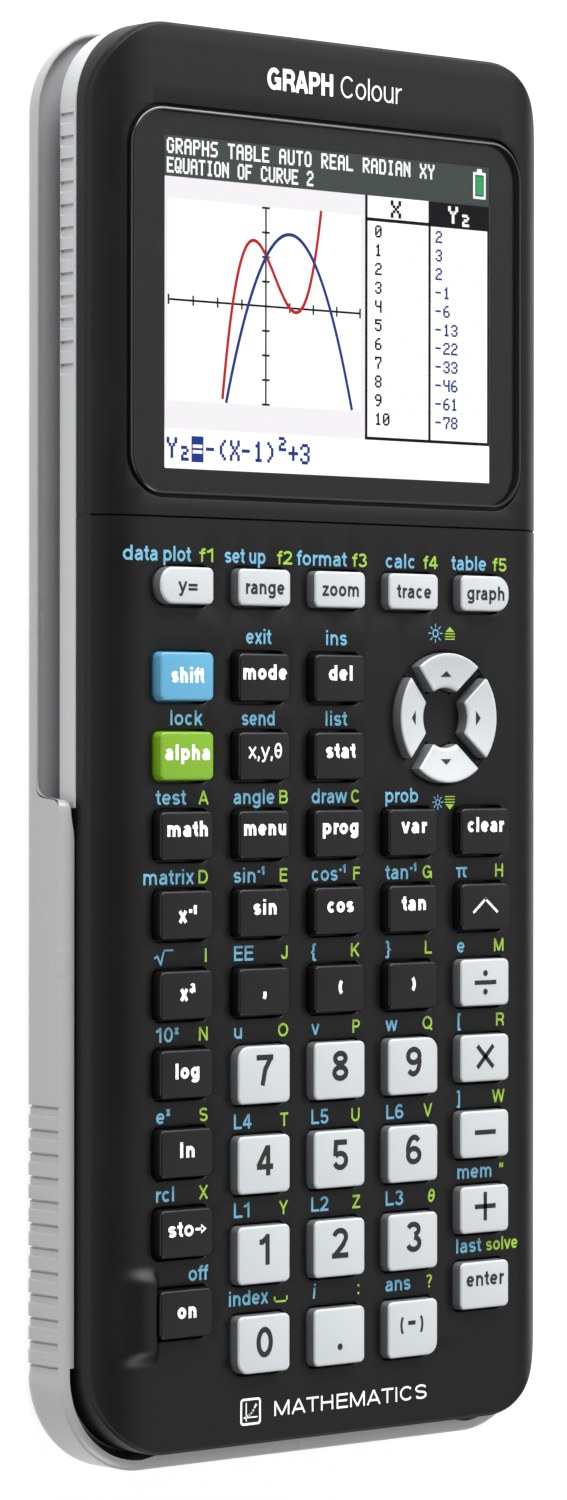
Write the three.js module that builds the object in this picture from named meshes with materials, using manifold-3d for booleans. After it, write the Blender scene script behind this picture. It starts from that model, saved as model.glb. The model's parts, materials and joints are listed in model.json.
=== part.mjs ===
// A school graphing calculator lying on its back, with its slide cover
// stored on the back. Millimetres. X runs to the right of the keyboard,
// Y to the top of the display, Z out of the keyboard. The origin is the
// middle of the bounding box's bottom face, on the cover's flat back.
import * as THREE from 'three';
import { mergeVertices } from 'three/addons/utils/BufferGeometryUtils.js';
import Module from 'manifold-3d';

const wasm = await Module();
wasm.setup();

// ---------------------------------------------------------------- sizes
// Overall
const FACE_Z = 13.4;          // flat keyboard face
const PART_Z = 8.2;           // parting line between the two housings
const BAND_Z = 4.8;           // lower edge of the grey side band
const BACK_Z = 3.3;           // back of the calculator itself
const HALF_W = 39.25;         // housing half width
const TOP_Y = 93.0;           // top end of the housing
const BOTTOM_Y = -90.5;       // bottom end of the housing
const CORNER_R = 11.0;        // housing corner radius in plan
const PLATE_T = 1.8;          // face plate thickness
const WALL_T = 1.85;          // side wall thickness
const FLAT_HALF = 29.0;       // the face is flat this far from the middle
const CROWN_DROP = 3.0;       // and this much lower at its long edges
const CROWN_POWER = 3.5;
const GAP = 0.3;              // clearance between neighbouring pieces

// Slide cover
const COVER_HALF_W = 41.5;
const COVER_TOP_Y = 92.4;
const COVER_BOTTOM_Y = -93.0;
const COVER_R = [13.2, 11.3, 11.3, 13.2];  // lower right, upper right, upper left, lower left
const COVER_FLOOR = 1.4;      // inside of its floor
const COVER_LIP_Z = 3.0;      // low lip along the upper half
const COVER_END_LIP_Z = 2.3;  // lower still across the top end
const COVER_RIM_Z = 8.3;      // full-height wall along the lower half
const COVER_STEP_Y = -6.7;    // where the wall steps up
const COVER_EDGE_R = 2.2;     // rounding of its back edge
const RIB_Z0 = 5.45, RIB_Z1 = 6.35;   // inner rib that runs in the housing's groove
const RIB_DEPTH = 1.0;
const GROOVE_Z0 = 5.15, GROOVE_Z1 = 6.65, GROOVE_DEPTH = 1.3;

// Display
const LCD_Y = 57.25;          // middle of the display
const LCD_W = 56.9, LCD_H = 42.7;
const WINDOW = { x0: -34.35, x1: 33.75, y0: 32.5, y1: 82.1, r: 5.3 };
const WINDOW_Z0 = 12.95, WINDOW_Z1 = 13.65;
const LEDGE_Z = 12.65;

// Keys
const KEY_W = 8.9;            // at the face
const KEY_TOP_Z = 14.75;
const KEY_ON_TOP_Z = 14.7;
const GUARD_Z = 14.5;         // moulded guard beside the on key
const FLANGE_Z0 = 10.4, FLANGE_Z1 = 11.3, FLANGE_OUT = 0.75;
const COLS = [-26.1, -13.05, 0, 13.05, 26.1];
const KEY_TRAVEL = 0.9;

// Arrow pad
const PAD_X = 19.55, PAD_Y = 4.05;
const PAD_RO = 8.75, PAD_RI = 4.0, PAD_SPLIT = 1.9;
const DISH_R = 9.17, DISH_CURVE = 0.013;      // the dish falls by DISH_CURVE times the radius squared
const DISH_FLOOR_Z = 13.2, DISH_TOP_Z = 14.86; // its floor and the arrows' tops, at DISH_R

// ---------------------------------------------------------------- helpers
function toManifold(geometry) {
  const g = geometry.clone();
  g.deleteAttribute('normal');
  g.deleteAttribute('uv');
  const m = mergeVertices(g, 1e-5);
  return new wasm.Manifold(new wasm.Mesh({
    numProp: 3,
    vertProperties: new Float32Array(m.attributes.position.array),
    triVerts: new Uint32Array(m.index.array),
  }));
}

function toGeometry(manifold) {
  const mesh = manifold.getMesh();
  const n = mesh.numProp;
  const count = mesh.vertProperties.length / n;
  const position = new Float32Array(count * 3);
  for (let i = 0; i < count; i++) {
    for (let k = 0; k < 3; k++) position[i * 3 + k] = mesh.vertProperties[i * n + k];
  }
  const g = new THREE.BufferGeometry();
  g.setAttribute('position', new THREE.BufferAttribute(position, 3));
  g.setIndex(new THREE.BufferAttribute(new Uint32Array(mesh.triVerts), 1));
  g.computeVertexNormals();
  return g;
}

// Corner points of a rounded rectangle, counter-clockwise. r may be one
// radius or four, from the lower right corner round.
function roundRect(x0, x1, y0, y1, r, seg = 3) {
  const rs = Array.isArray(r) ? r : [r, r, r, r];
  const corners = [
    [x1, y0, 1, -1, -Math.PI / 2],
    [x1, y1, 1, 1, 0],
    [x0, y1, -1, 1, Math.PI / 2],
    [x0, y0, -1, -1, Math.PI],
  ];
  const pts = [];
  corners.forEach(([cx, cy, sx, sy, a0], i) => {
    const rad = rs[i];
    if (rad <= 0) { pts.push(new THREE.Vector2(cx, cy)); return; }
    for (let k = 0; k <= seg; k++) {
      const a = a0 + (Math.PI / 2) * (k / seg);
      pts.push(new THREE.Vector2(cx - sx * rad + rad * Math.cos(a), cy - sy * rad + rad * Math.sin(a)));
    }
  });
  return pts;
}

function prism(points, z0, z1) {
  const g = new THREE.ExtrudeGeometry(new THREE.Shape(points), { depth: z1 - z0, bevelEnabled: false });
  g.translate(0, 0, z0);
  return toManifold(g);
}

function box(x0, x1, y0, y1, z0, z1) {
  const g = new THREE.BoxGeometry(x1 - x0, y1 - y0, z1 - z0);
  g.translate((x0 + x1) / 2, (y0 + y1) / 2, (z0 + z1) / 2);
  return toManifold(g);
}

// A closed profile in X and Z, run along Y.
function alongY(profile, y0, y1) {
  const g = new THREE.ExtrudeGeometry(
    new THREE.Shape(profile.map(([x, z]) => new THREE.Vector2(x, z))),
    { depth: y1 - y0, bevelEnabled: false },
  );
  g.rotateX(Math.PI / 2);       // (x, z, d) -> (x, -d, z)
  g.translate(0, y1, 0);
  return toManifold(g);
}

function cylinder(x, y, z0, z1, r0, r1, sides) {
  const g = new THREE.CylinderGeometry(r1, r0, z1 - z0, sides);
  g.rotateX(Math.PI / 2);
  g.translate(x, y, (z0 + z1) / 2);
  return toManifold(g);
}

// A solid of revolution about a vertical axis: [radius, z] from its lowest ring up, with the
// middle of its underside at zMid.
function revolve(x, y, profile, zMid, sides) {
  const pos = [x, y, zMid], idx = [];
  for (const [r, z] of profile) {
    for (let k = 0; k < sides; k++) {
      const a = (2 * Math.PI * k) / sides;
      pos.push(x + r * Math.cos(a), y + r * Math.sin(a), z);
    }
  }
  const top = pos.length / 3;
  pos.push(x, y, profile[profile.length - 1][1]);
  const at = (i, k) => 1 + i * sides + (k % sides);
  for (let k = 0; k < sides; k++) {
    idx.push(0, at(0, k + 1), at(0, k));
    for (let i = 0; i + 1 < profile.length; i++) {
      idx.push(at(i, k), at(i, k + 1), at(i + 1, k + 1), at(i, k), at(i + 1, k + 1), at(i + 1, k));
    }
    idx.push(top, at(profile.length - 1, k), at(profile.length - 1, k + 1));
  }
  const g = new THREE.BufferGeometry();
  g.setAttribute('position', new THREE.BufferAttribute(new Float32Array(pos), 3));
  g.setIndex(idx);
  return toManifold(g);
}

const part = new THREE.Group();
part.name = 'graphing_calculator';

function addMesh(name, geometry, color, roughness, metalness, position) {
  const mesh = new THREE.Mesh(geometry, new THREE.MeshStandardMaterial({ color, roughness, metalness }));
  mesh.name = name;
  if (position) mesh.position.set(...position);
  part.add(mesh);
  return mesh;
}

// ---------------------------------------------------------------- key table
// name, column x, row y, height, colour, corner radii (lower right, upper right, upper left, lower left)
const C = 0.8, L = 1.8, E = 2.2;
const WHITE = 0xdfe3e5, BLACK = 0x2c2c2d, BLUE = 0x62b8ea, GREEN = 0x8fcf33;
const KEYS = [
  ['key_y_equals', COLS[0], 20.85, 4.85, WHITE, [C, C, E, E]],
  ['key_window', COLS[1], 20.85, 4.85, WHITE, [C, C, C, C]],
  ['key_zoom', COLS[2], 20.85, 4.85, WHITE, [C, C, C, C]],
  ['key_trace', COLS[3], 20.85, 4.85, WHITE, [C, C, C, C]],
  ['key_graph', COLS[4], 20.85, 4.85, WHITE, [E, E, C, C]],
  ['key_second', COLS[0], 9.2, 6.3, BLUE, [C, C, C, C]],
  ['key_mode', COLS[1], 9.2, 6.3, BLACK, [C, C, C, C]],
  ['key_delete', COLS[2], 9.2, 6.3, BLACK, [C, C, C, C]],
  ['key_alpha', COLS[0], -1.0, 6.3, GREEN, [C, C, C, C]],
  ['key_variable', COLS[1], -1.0, 6.3, BLACK, [C, C, C, C]],
  ['key_stat', COLS[2], -1.0, 6.3, BLACK, [C, C, C, C]],
  ['key_math', COLS[0], -11.2, 6.3, BLACK, [C, C, C, C]],
  ['key_apps', COLS[1], -11.2, 6.3, BLACK, [C, C, C, C]],
  ['key_program', COLS[2], -11.2, 6.3, BLACK, [C, C, C, C]],
  ['key_vars', COLS[3], -11.2, 6.3, BLACK, [C, C, C, C]],
  ['key_clear', COLS[4], -11.2, 6.3, BLACK, [C, C, C, C]],
  ['key_inverse', COLS[0], -21.35, 6.3, BLACK, [C, C, C, C]],
  ['key_sin', COLS[1], -21.35, 6.3, BLACK, [C, C, C, C]],
  ['key_cos', COLS[2], -21.35, 6.3, BLACK, [C, C, C, C]],
  ['key_tan', COLS[3], -21.35, 6.3, BLACK, [C, C, C, C]],
  ['key_power', COLS[4], -21.35, 6.3, BLACK, [C, C, C, C]],
  ['key_square', COLS[0], -31.6, 6.3, BLACK, [C, C, C, C]],
  ['key_comma', COLS[1], -31.6, 6.3, BLACK, [C, C, C, C]],
  ['key_paren_open', COLS[2], -31.6, 6.3, BLACK, [C, C, C, C]],
  ['key_paren_close', COLS[3], -31.6, 6.3, BLACK, [C, C, C, C]],
  ['key_divide', COLS[4], -31.6, 6.4, WHITE, [C, C, C, C]],
  ['key_log', COLS[0], -41.7, 6.3, BLACK, [C, C, C, C]],
  ['key_multiply', COLS[4], -41.8, 6.4, WHITE, [C, C, C, C]],
  ['key_ln', COLS[0], -51.85, 6.3, BLACK, [C, C, C, C]],
  ['key_minus', COLS[4], -52.05, 6.4, WHITE, [C, C, C, C]],
  ['key_store', COLS[0], -62.1, 6.3, BLACK, [C, C, C, C]],
  ['key_plus', COLS[4], -62.2, 6.4, WHITE, [C, C, C, C]],
  ['key_on', COLS[0], -72.4, 6.3, BLACK, [C, C, C, C]],
  ['key_enter', COLS[4], -72.4, 6.4, WHITE, [C, C, C, C]],
  ['key_7', COLS[1], -42.35, 7.6, WHITE, [C, C, L, C]],
  ['key_8', COLS[2], -42.35, 7.6, WHITE, [C, C, C, C]],
  ['key_9', COLS[3], -42.35, 7.6, WHITE, [C, L, C, C]],
  ['key_4', COLS[1], -54.0, 7.6, WHITE, [C, C, C, C]],
  ['key_5', COLS[2], -54.0, 7.6, WHITE, [C, C, C, C]],
  ['key_6', COLS[3], -54.0, 7.6, WHITE, [C, C, C, C]],
  ['key_1', COLS[1], -65.7, 7.6, WHITE, [C, C, C, C]],
  ['key_2', COLS[2], -65.7, 7.6, WHITE, [C, C, C, C]],
  ['key_3', COLS[3], -65.7, 7.6, WHITE, [C, C, C, C]],
  ['key_0', COLS[1], -77.3, 7.6, WHITE, [C, C, C, L]],
  ['key_point', COLS[2], -77.3, 7.6, WHITE, [C, C, C, C]],
  ['key_negate', COLS[3], -77.3, 7.6, WHITE, [L, C, C, C]],
];

// One quarter of the arrow pad: an annular sector whose straight sides run
// parallel to the diagonals, so that the four keep an even gap.
function padSector(direction, ro, ri, split) {
  const h = split / 2;
  const pts = [];
  const a0 = Math.PI / 4, segO = 6, segI = 4;
  const outer = Math.asin(h / ro), inner = Math.asin(h / ri);
  for (let k = 0; k <= segO; k++) {
    const a = -a0 + outer + (2 * (a0 - outer)) * (k / segO);
    pts.push([ro * Math.cos(a), ro * Math.sin(a)]);
  }
  for (let k = 0; k <= segI; k++) {
    const a = a0 - inner - (2 * (a0 - inner)) * (k / segI);
    pts.push([ri * Math.cos(a), ri * Math.sin(a)]);
  }
  const c = Math.cos(direction), s = Math.sin(direction);
  return pts.map(([x, y]) => new THREE.Vector2(PAD_X + x * c - y * s, PAD_Y + x * s + y * c));
}
const ARROWS = [['arrow_right', 0], ['arrow_up', Math.PI / 2], ['arrow_left', Math.PI], ['arrow_down', -Math.PI / 2]];

// ---------------------------------------------------------------- front housing
// The face is flat in the middle and falls away to both long sides.
const crown = [[-HALF_W - 1, PART_Z - 1], [HALF_W + 1, PART_Z - 1]];
{
  const side = [];
  for (const u of [0, 0.2, 0.38, 0.53, 0.66, 0.78, 0.89, 1]) {
    side.push([FLAT_HALF + (HALF_W - FLAT_HALF) * u, FACE_Z - CROWN_DROP * u ** CROWN_POWER]);
  }
  const edgeZ = side[side.length - 1][1];
  crown.push([HALF_W + 1, edgeZ - 0.9]);
  for (const p of [...side].reverse()) crown.push(p);
  for (const p of side) crown.push([-p[0], p[1]]);
  crown.push([-HALF_W - 1, edgeZ - 0.9]);
}
const housingOutline = roundRect(-HALF_W, HALF_W, BOTTOM_Y, TOP_Y, CORNER_R, 5);
const innerOutline = (inset) => roundRect(
  -HALF_W + inset, HALF_W - inset, BOTTOM_Y + inset, TOP_Y - inset, Math.max(CORNER_R - inset, 1), 4);

let front = prism(housingOutline, PART_Z + 0.05, FACE_Z + 0.5)
  .intersect(alongY(crown, BOTTOM_Y - 1, TOP_Y + 1));
// The underside pocket: the plate keeps its thickness out into the shoulders.
const pocketTop = FACE_Z - PLATE_T;
const pocket = prism(innerOutline(WALL_T), PART_Z - 1, pocketTop)
  .intersect(alongY([
    [-HALF_W, PART_Z - 1], [HALF_W, PART_Z - 1], [HALF_W, 9.2], [34.2, pocketTop],
    [-34.2, pocketTop], [-HALF_W, 9.2]], BOTTOM_Y, TOP_Y));
front = front.subtract(pocket);
// Recess for the display window and the opening over the display.
front = front.subtract(prism(
  roundRect(WINDOW.x0 - 0.4, WINDOW.x1 + 0.4, WINDOW.y0 - 0.4, WINDOW.y1 + 0.4, WINDOW.r + 0.4, 4),
  LEDGE_Z, FACE_Z + 1));
front = front.subtract(box(-30.3, 30.3, LCD_Y - 23.3, LCD_Y + 23.3, PART_Z, FACE_Z + 1));
// One opening for each key.
for (const [, x, y, h, , r] of KEYS) {
  const g = GAP;
  front = front.subtract(prism(
    roundRect(x - KEY_W / 2 - g, x + KEY_W / 2 + g, y - h / 2 - g, y + h / 2 + g, r.map((v) => v + g), 1),
    pocketTop - 1, FACE_Z + 1));
}
// The arrow pad lies in a shallow round dish.
const dish = (top, r) => top - DISH_CURVE * (DISH_R ** 2 - r * r);
const dishSolid = (top, radii, lid) => revolve(PAD_X, PAD_Y,
  [...radii.map((r) => [r, dish(top, r)]), [radii[radii.length - 1], lid]], dish(top, 0), 28);
front = front.subtract(dishSolid(DISH_FLOOR_Z, [3.2, 6.4, DISH_R], FACE_Z + 1));
for (const [, a] of ARROWS) {
  front = front.subtract(prism(
    padSector(a, PAD_RO + GAP, PAD_RI - GAP, PAD_SPLIT - 2 * GAP), pocketTop - 1, FACE_Z + 1));
}
// Guard beside the on key: a low ridge that rises out of the shoulder.
front = front.add(alongY([
  [-36.2, 12.35], [-31.15, 12.35], [-31.15, GUARD_Z], [-32.6, GUARD_Z - 0.05], [-34.6, 13.75]],
-78.2, -66.8));
// Socket opening on the right side.
front = front.subtract(box(36.5, 41, 73.9, 82.1, PART_Z - 1, 10.15));
addMesh('front_housing', toGeometry(front), 0x303030, 0.5, 0);

// ---------------------------------------------------------------- rear housing
let rear = prism(housingOutline, BAND_Z, PART_Z - 0.05);
rear = rear.add(prism(
  roundRect(-36.2, 36.2, BOTTOM_Y + 3.05, TOP_Y - 3.05, CORNER_R - 3.05, 5), BACK_Z, BAND_Z + 0.5));
rear = rear.subtract(prism(
  roundRect(-34.8, 34.8, BOTTOM_Y + 4.45, TOP_Y - 4.45, 6.5, 4), BACK_Z + 1.2, 6.95));
rear = rear.subtract(prism(innerOutline(WALL_T), 6.95, PART_Z + 1));
// Slots that take the cover's ribs, open at the bottom end.
for (const s of [-1, 1]) {
  const xa = s * (HALF_W - GROOVE_DEPTH), xb = s * (HALF_W + 2);
  rear = rear.subtract(box(Math.min(xa, xb), Math.max(xa, xb), BOTTOM_Y - 2, COVER_STEP_Y - 0.6, GROOVE_Z0, GROOVE_Z1));
}
// Battery opening and the four screw bosses.
const DOOR = { x0: -29, x1: 29, y0: 34, y1: 78 };
rear = rear.subtract(prism(roundRect(DOOR.x0 - GAP, DOOR.x1 + GAP, DOOR.y0 - GAP, DOOR.y1 + GAP, 2, 2), BACK_Z - 1, BACK_Z + 1.3));
const BOSSES = [[-32.3, 84.5], [32.3, 84.5], [-32.3, -82], [32.3, -82]];
for (const [x, y] of BOSSES) {
  rear = rear.add(cylinder(x, y, BACK_Z + 1.0, 6.9, 2.0, 2.0, 8));
  rear = rear.subtract(cylinder(x, y, BACK_Z - 1, BACK_Z + 1.6, 1.7, 1.7, 8));
}
rear = rear.subtract(box(32.3, 41, 73.9, 82.1, 6.45, PART_Z + 1));
addMesh('rear_housing', toGeometry(rear), 0xb4b5b7, 0.45, 0);

// ---------------------------------------------------------------- slide cover
// A tray with a rounded back edge: a low lip round the upper half, and a
// full-height wall round the lower half whose inner ribs run in the slots.
function beveledOutline(inset, depth) {
  const g = new THREE.ExtrudeGeometry(
    new THREE.Shape(roundRect(-COVER_HALF_W, COVER_HALF_W, COVER_BOTTOM_Y, COVER_TOP_Y, COVER_R, 6)),
    { depth, bevelEnabled: true, bevelThickness: inset, bevelSize: inset, bevelOffset: -inset, bevelSegments: 2 });
  g.translate(0, 0, inset);
  return toManifold(g);
}
let cover = beveledOutline(COVER_EDGE_R, 14).intersect(box(-50, 50, -100, 100, -1, COVER_RIM_Z));
const insideX = HALF_W + GAP;
cover = cover.subtract(prism(
  roundRect(-insideX, insideX, BOTTOM_Y - 0.55, COVER_TOP_Y - 1.95, [10.2, 9.4, 9.4, 10.2], 5), COVER_FLOOR, 20));
cover = cover.subtract(box(-50, 50, COVER_STEP_Y, 100, COVER_LIP_Z, 20));
cover = cover.subtract(box(-34, 34, 70, 100, COVER_END_LIP_Z, 20));
for (const s of [-1, 1]) {
  const xa = s * (insideX + 0.5), xb = s * (insideX - GAP - RIB_DEPTH);
  cover = cover.add(box(Math.min(xa, xb), Math.max(xa, xb), -78, COVER_STEP_Y - 2, RIB_Z0, RIB_Z1));
}
addMesh('slide_cover', toGeometry(cover), 0xb4b5b7, 0.42, 0);

// ---------------------------------------------------------------- display
addMesh('display_window', toGeometry(prism(
  roundRect(WINDOW.x0, WINDOW.x1, WINDOW.y0, WINDOW.y1, WINDOW.r, 4), WINDOW_Z0, WINDOW_Z1)), 0x101112, 0.12, 0);

let lcd = box(-31.8, 31.8, LCD_Y - 24.6, LCD_Y + 24.6, 9.3, 11.3);
lcd = lcd.add(box(-29.9, 29.9, LCD_Y - 22.9, LCD_Y + 22.9, 11.0, 12.85));
addMesh('lcd_module', toGeometry(lcd), 0xf4f4f6, 0.4, 0);

// ---------------------------------------------------------------- inside
addMesh('circuit_board', toGeometry(prism(
  roundRect(-36.6, 36.6, -87.6, 24.5, 6, 2), 7.15, 8.15)), 0x1f6a3c, 0.6, 0.1);

let membrane = prism(roundRect(-36.6, 36.6, -87.6, 24.5, 6, 2), 8.35, 8.85);
for (const [, x, y] of KEYS) membrane = membrane.add(cylinder(x, y, 8.75, 9.2, 1.9, 1.5, 6));
for (const [, a] of ARROWS) {
  membrane = membrane.add(cylinder(PAD_X + 6.4 * Math.cos(a), PAD_Y + 6.4 * Math.sin(a), 8.75, 9.2, 1.6, 1.3, 6));
}
addMesh('keypad_membrane', toGeometry(membrane), 0xc9ccce, 0.8, 0);

addMesh('battery_pack', toGeometry(prism(
  roundRect(-25, 25, 37, 75, 1.5, 2), 4.85, 8.9)), 0x3a5fa8, 0.5, 0.1);

let door = prism(roundRect(DOOR.x0, DOOR.x1, DOOR.y0, DOOR.y1, 1.7, 2), BACK_Z, BACK_Z + 1.2);
for (const x of [-18, 18]) door = door.add(box(x - 3, x + 3, DOOR.y1 - 3, DOOR.y1 + 0.2, BACK_Z + 1.0, BACK_Z + 1.35));
door = door.subtract(cylinder(0, DOOR.y0 + 4, BACK_Z - 1, BACK_Z + 0.7, 2.2, 2.2, 10));
addMesh('battery_door', toGeometry(door), 0xb0b1b3, 0.5, 0);

let port = box(32.6, 38.9, 74.3, 81.7, 6.8, 9.8);
port = port.subtract(box(33.3, 40, 74.8, 81.2, 7.3, 9.3));
port = port.add(box(33.0, 37.4, 75.9, 80.1, 8.05, 8.6));
addMesh('usb_port', toGeometry(port), 0xb9bcc0, 0.3, 0.9);

// ---------------------------------------------------------------- keys
// Each cap is a tapered block standing through its opening, with a flange
// below the plate that keeps it in.
function keyCap(x, y, w, h, radii, topZ) {
  // modelled about its own middle, then placed
  const taper = 0.12;
  const lower = roundRect(-w / 2, w / 2, -h / 2, h / 2, radii, 1);
  const upper = roundRect(-w / 2 + taper, w / 2 - taper, -h / 2 + taper, h / 2 - taper,
    radii.map((r) => Math.max(r - taper, 0.2)), 1);
  const n = lower.length;
  const z0 = FLANGE_Z1 - 0.2, zc = FACE_Z - 0.1, z1 = topZ;
  // side loft from the lower to the upper outline
  const pos = [], idx = [];
  for (const [ring, z] of [[lower, z0], [lower, zc], [upper, z1]]) for (const p of ring) pos.push(p.x, p.y, z);
  for (let r = 0; r < 2; r++) {
    for (let i = 0; i < n; i++) {
      const a = r * n + i, b = r * n + (i + 1) % n;
      idx.push(a, b, b + n, a, b + n, a + n);
    }
  }
  for (let i = 1; i < n - 1; i++) {
    idx.push(0, i + 1, i);
    idx.push(2 * n, 2 * n + i, 2 * n + i + 1);
  }
  const g = new THREE.BufferGeometry();
  g.setAttribute('position', new THREE.BufferAttribute(new Float32Array(pos), 3));
  g.setIndex(idx);
  let cap = new wasm.Manifold(new wasm.Mesh({
    numProp: 3, vertProperties: new Float32Array(pos), triVerts: new Uint32Array(idx) }));
  cap = cap.add(box(-w / 2 - FLANGE_OUT, w / 2 + FLANGE_OUT, -h / 2 - FLANGE_OUT, h / 2 + FLANGE_OUT, FLANGE_Z0, FLANGE_Z1));
  return toGeometry(cap);
}
for (const [name, x, y, h, color, radii] of KEYS) {
  addMesh(name, keyCap(x, y, KEY_W, h, radii, name === 'key_on' ? KEY_ON_TOP_Z : KEY_TOP_Z), color, 0.35, 0, [x, y, 0]);
}
for (const [name, a] of ARROWS) {
  let arrow = prism(padSector(a, PAD_RO, PAD_RI, PAD_SPLIT), FLANGE_Z1 - 0.2, KEY_TOP_Z + 0.4)
    .subtract(dishSolid(DISH_TOP_Z, [3.2, 5.2, 7.0, 9.6], KEY_TOP_Z + 2));
  arrow = arrow.add(prism(padSector(a, PAD_RO + 0.7, PAD_RI - 0.7, PAD_SPLIT - 1.3), FLANGE_Z0, FLANGE_Z1));
  addMesh(name, toGeometry(arrow), WHITE, 0.35, 0);
}

export default part;
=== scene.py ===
import math
import bpy
import bmesh
from mathutils import Vector, Matrix
from mathutils.geometry import delaunay_2d_cdt
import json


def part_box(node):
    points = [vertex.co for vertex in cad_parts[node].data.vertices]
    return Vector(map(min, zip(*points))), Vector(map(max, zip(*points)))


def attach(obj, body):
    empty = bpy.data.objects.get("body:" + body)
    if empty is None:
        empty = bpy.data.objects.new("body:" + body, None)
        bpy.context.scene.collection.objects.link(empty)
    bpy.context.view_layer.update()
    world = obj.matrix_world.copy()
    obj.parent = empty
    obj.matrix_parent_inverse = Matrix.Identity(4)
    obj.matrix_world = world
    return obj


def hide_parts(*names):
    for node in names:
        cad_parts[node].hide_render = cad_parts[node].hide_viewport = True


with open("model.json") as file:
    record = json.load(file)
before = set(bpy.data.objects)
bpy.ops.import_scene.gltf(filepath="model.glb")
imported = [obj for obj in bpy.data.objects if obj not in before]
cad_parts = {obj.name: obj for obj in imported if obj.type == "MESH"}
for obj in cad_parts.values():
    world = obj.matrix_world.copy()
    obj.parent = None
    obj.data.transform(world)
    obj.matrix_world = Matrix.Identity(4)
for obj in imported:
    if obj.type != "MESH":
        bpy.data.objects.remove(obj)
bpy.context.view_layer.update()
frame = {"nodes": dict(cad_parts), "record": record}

NODES = frame["nodes"]
BODY_OF = {}
for body, members in frame["record"]["behaviour"]["bodies"].items():
    for n in members:
        BODY_OF[n] = body
ROOT = "calculator"
MM = 0.001


def box_mm(node):
    lo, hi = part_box(node)
    return [c * 1000 for c in lo], [c * 1000 for c in hi]


# ------------------------------------------------------------------ camera
cam_data = bpy.data.cameras.new("camera")
cam = bpy.data.objects.new("camera", cam_data)
bpy.context.scene.collection.objects.link(cam)
# the solved view: yaw, pitch and roll in radians
YAW, PITCH, ROLL = 0.7114, -0.0019, 0.0009
fw = Vector((math.sin(YAW), 0.0, -math.cos(YAW)))
side = Vector((math.cos(YAW), 0.0, math.sin(YAW)))
up = Vector((0.0, 1.0, 0.0))
ahead = math.cos(PITCH) * fw + math.sin(PITCH) * up
above = -math.sin(PITCH) * fw + math.cos(PITCH) * up
cam_x = math.cos(ROLL) * side + math.sin(ROLL) * above
cam_y = -math.sin(ROLL) * side + math.cos(ROLL) * above
cam.matrix_world = Matrix.Translation(Vector((-0.42814, 0.00099, 0.49995))) @ Matrix((cam_x, cam_y, -ahead)).transposed().to_4x4()
cam_data.lens = 118.13
cam_data.sensor_width = 36.0
cam_data.sensor_fit = "AUTO"
cam_data.clip_start = 0.01
cam_data.clip_end = 20.0
cam_data.dof.use_dof = False
bpy.context.scene.camera = cam

# ------------------------------------------------------------------ mesh kit
class Build:
    """Collects faces in millimetres and welds shared corners."""

    def __init__(self):
        self.index = {}
        self.verts = []
        self.faces = []
        self.mats = []

    def v(self, p):
        k = (round(p[0] * 2000), round(p[1] * 2000), round(p[2] * 2000))
        i = self.index.get(k)
        if i is None:
            i = len(self.verts)
            self.index[k] = i
            self.verts.append((p[0] * MM, p[1] * MM, p[2] * MM))
        return i

    def face(self, pts, mat=0):
        idx = []
        for p in pts:
            i = self.v(p)
            if not idx or idx[-1] != i:
                idx.append(i)
        if len(idx) > 1 and idx[0] == idx[-1]:
            idx.pop()
        if len(idx) >= 3 and len(set(idx)) == len(idx):
            self.faces.append(idx)
            self.mats.append(mat)

    def strip(self, a, b, closed=True, mat=0):
        """Quads between two rings of equal length; a is below or outside b."""
        n = len(a)
        for i in range(n if closed else n - 1):
            j = (i + 1) % n
            self.face([a[i], a[j], b[j], b[i]], mat)

    def rings(self, rings, closed=True, mat=0):
        for a, b in zip(rings, rings[1:]):
            self.strip(a, b, closed, mat)

    def cap(self, ring, flip=False, mat=0):
        self.face(list(reversed(ring)) if flip else list(ring), mat)

    def object(self, name, materials, sharp=30.0, fix_normals=True):
        me = bpy.data.meshes.new(name)
        me.from_pydata(self.verts, [], self.faces)
        me.update()
        for m in materials:
            me.materials.append(m)
        if len(materials) > 1:
            for p, k in zip(me.polygons, self.mats):
                p.material_index = k
        if fix_normals:
            bm = bmesh.new()
            bm.from_mesh(me)
            bmesh.ops.recalc_face_normals(bm, faces=bm.faces)
            bm.to_mesh(me)
            bm.free()
        for p in me.polygons:
            p.use_smooth = True
        me.set_sharp_from_angle(angle=math.radians(sharp))
        ob = bpy.data.objects.new(name, me)
        bpy.context.scene.collection.objects.link(ob)
        return ob


def rr(x0, x1, y0, y1, r, seg=8):
    """Rounded rectangle, counter-clockwise; r is one radius or four: lower right, upper right, upper left, lower left."""
    rs = list(r) if isinstance(r, (list, tuple)) else [r] * 4
    out = []
    for (cx, cy, sx, sy, a0), rad in zip(
        ((x1, y0, 1, -1, -90), (x1, y1, 1, 1, 0), (x0, y1, -1, 1, 90), (x0, y0, -1, -1, 180)), rs
    ):
        rad = max(rad, 0.02)
        for k in range(seg + 1):
            a = math.radians(a0 + 90.0 * k / seg)
            out.append((cx - sx * rad + rad * math.cos(a), cy - sy * rad + rad * math.sin(a)))
    return out


def at(ring, z):
    if callable(z):
        return [(x, y, z(x, y)) for x, y in ring]
    return [(x, y, z) for x, y in ring]


def inside(pt, poly):
    x, y = pt
    c = False
    n = len(poly)
    j = n - 1
    for i in range(n):
        xi, yi = poly[i][0], poly[i][1]
        xj, yj = poly[j][0], poly[j][1]
        if (yi > y) != (yj > y) and x < (xj - xi) * (y - yi) / (yj - yi) + xi:
            c = not c
        j = i
    return c


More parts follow.
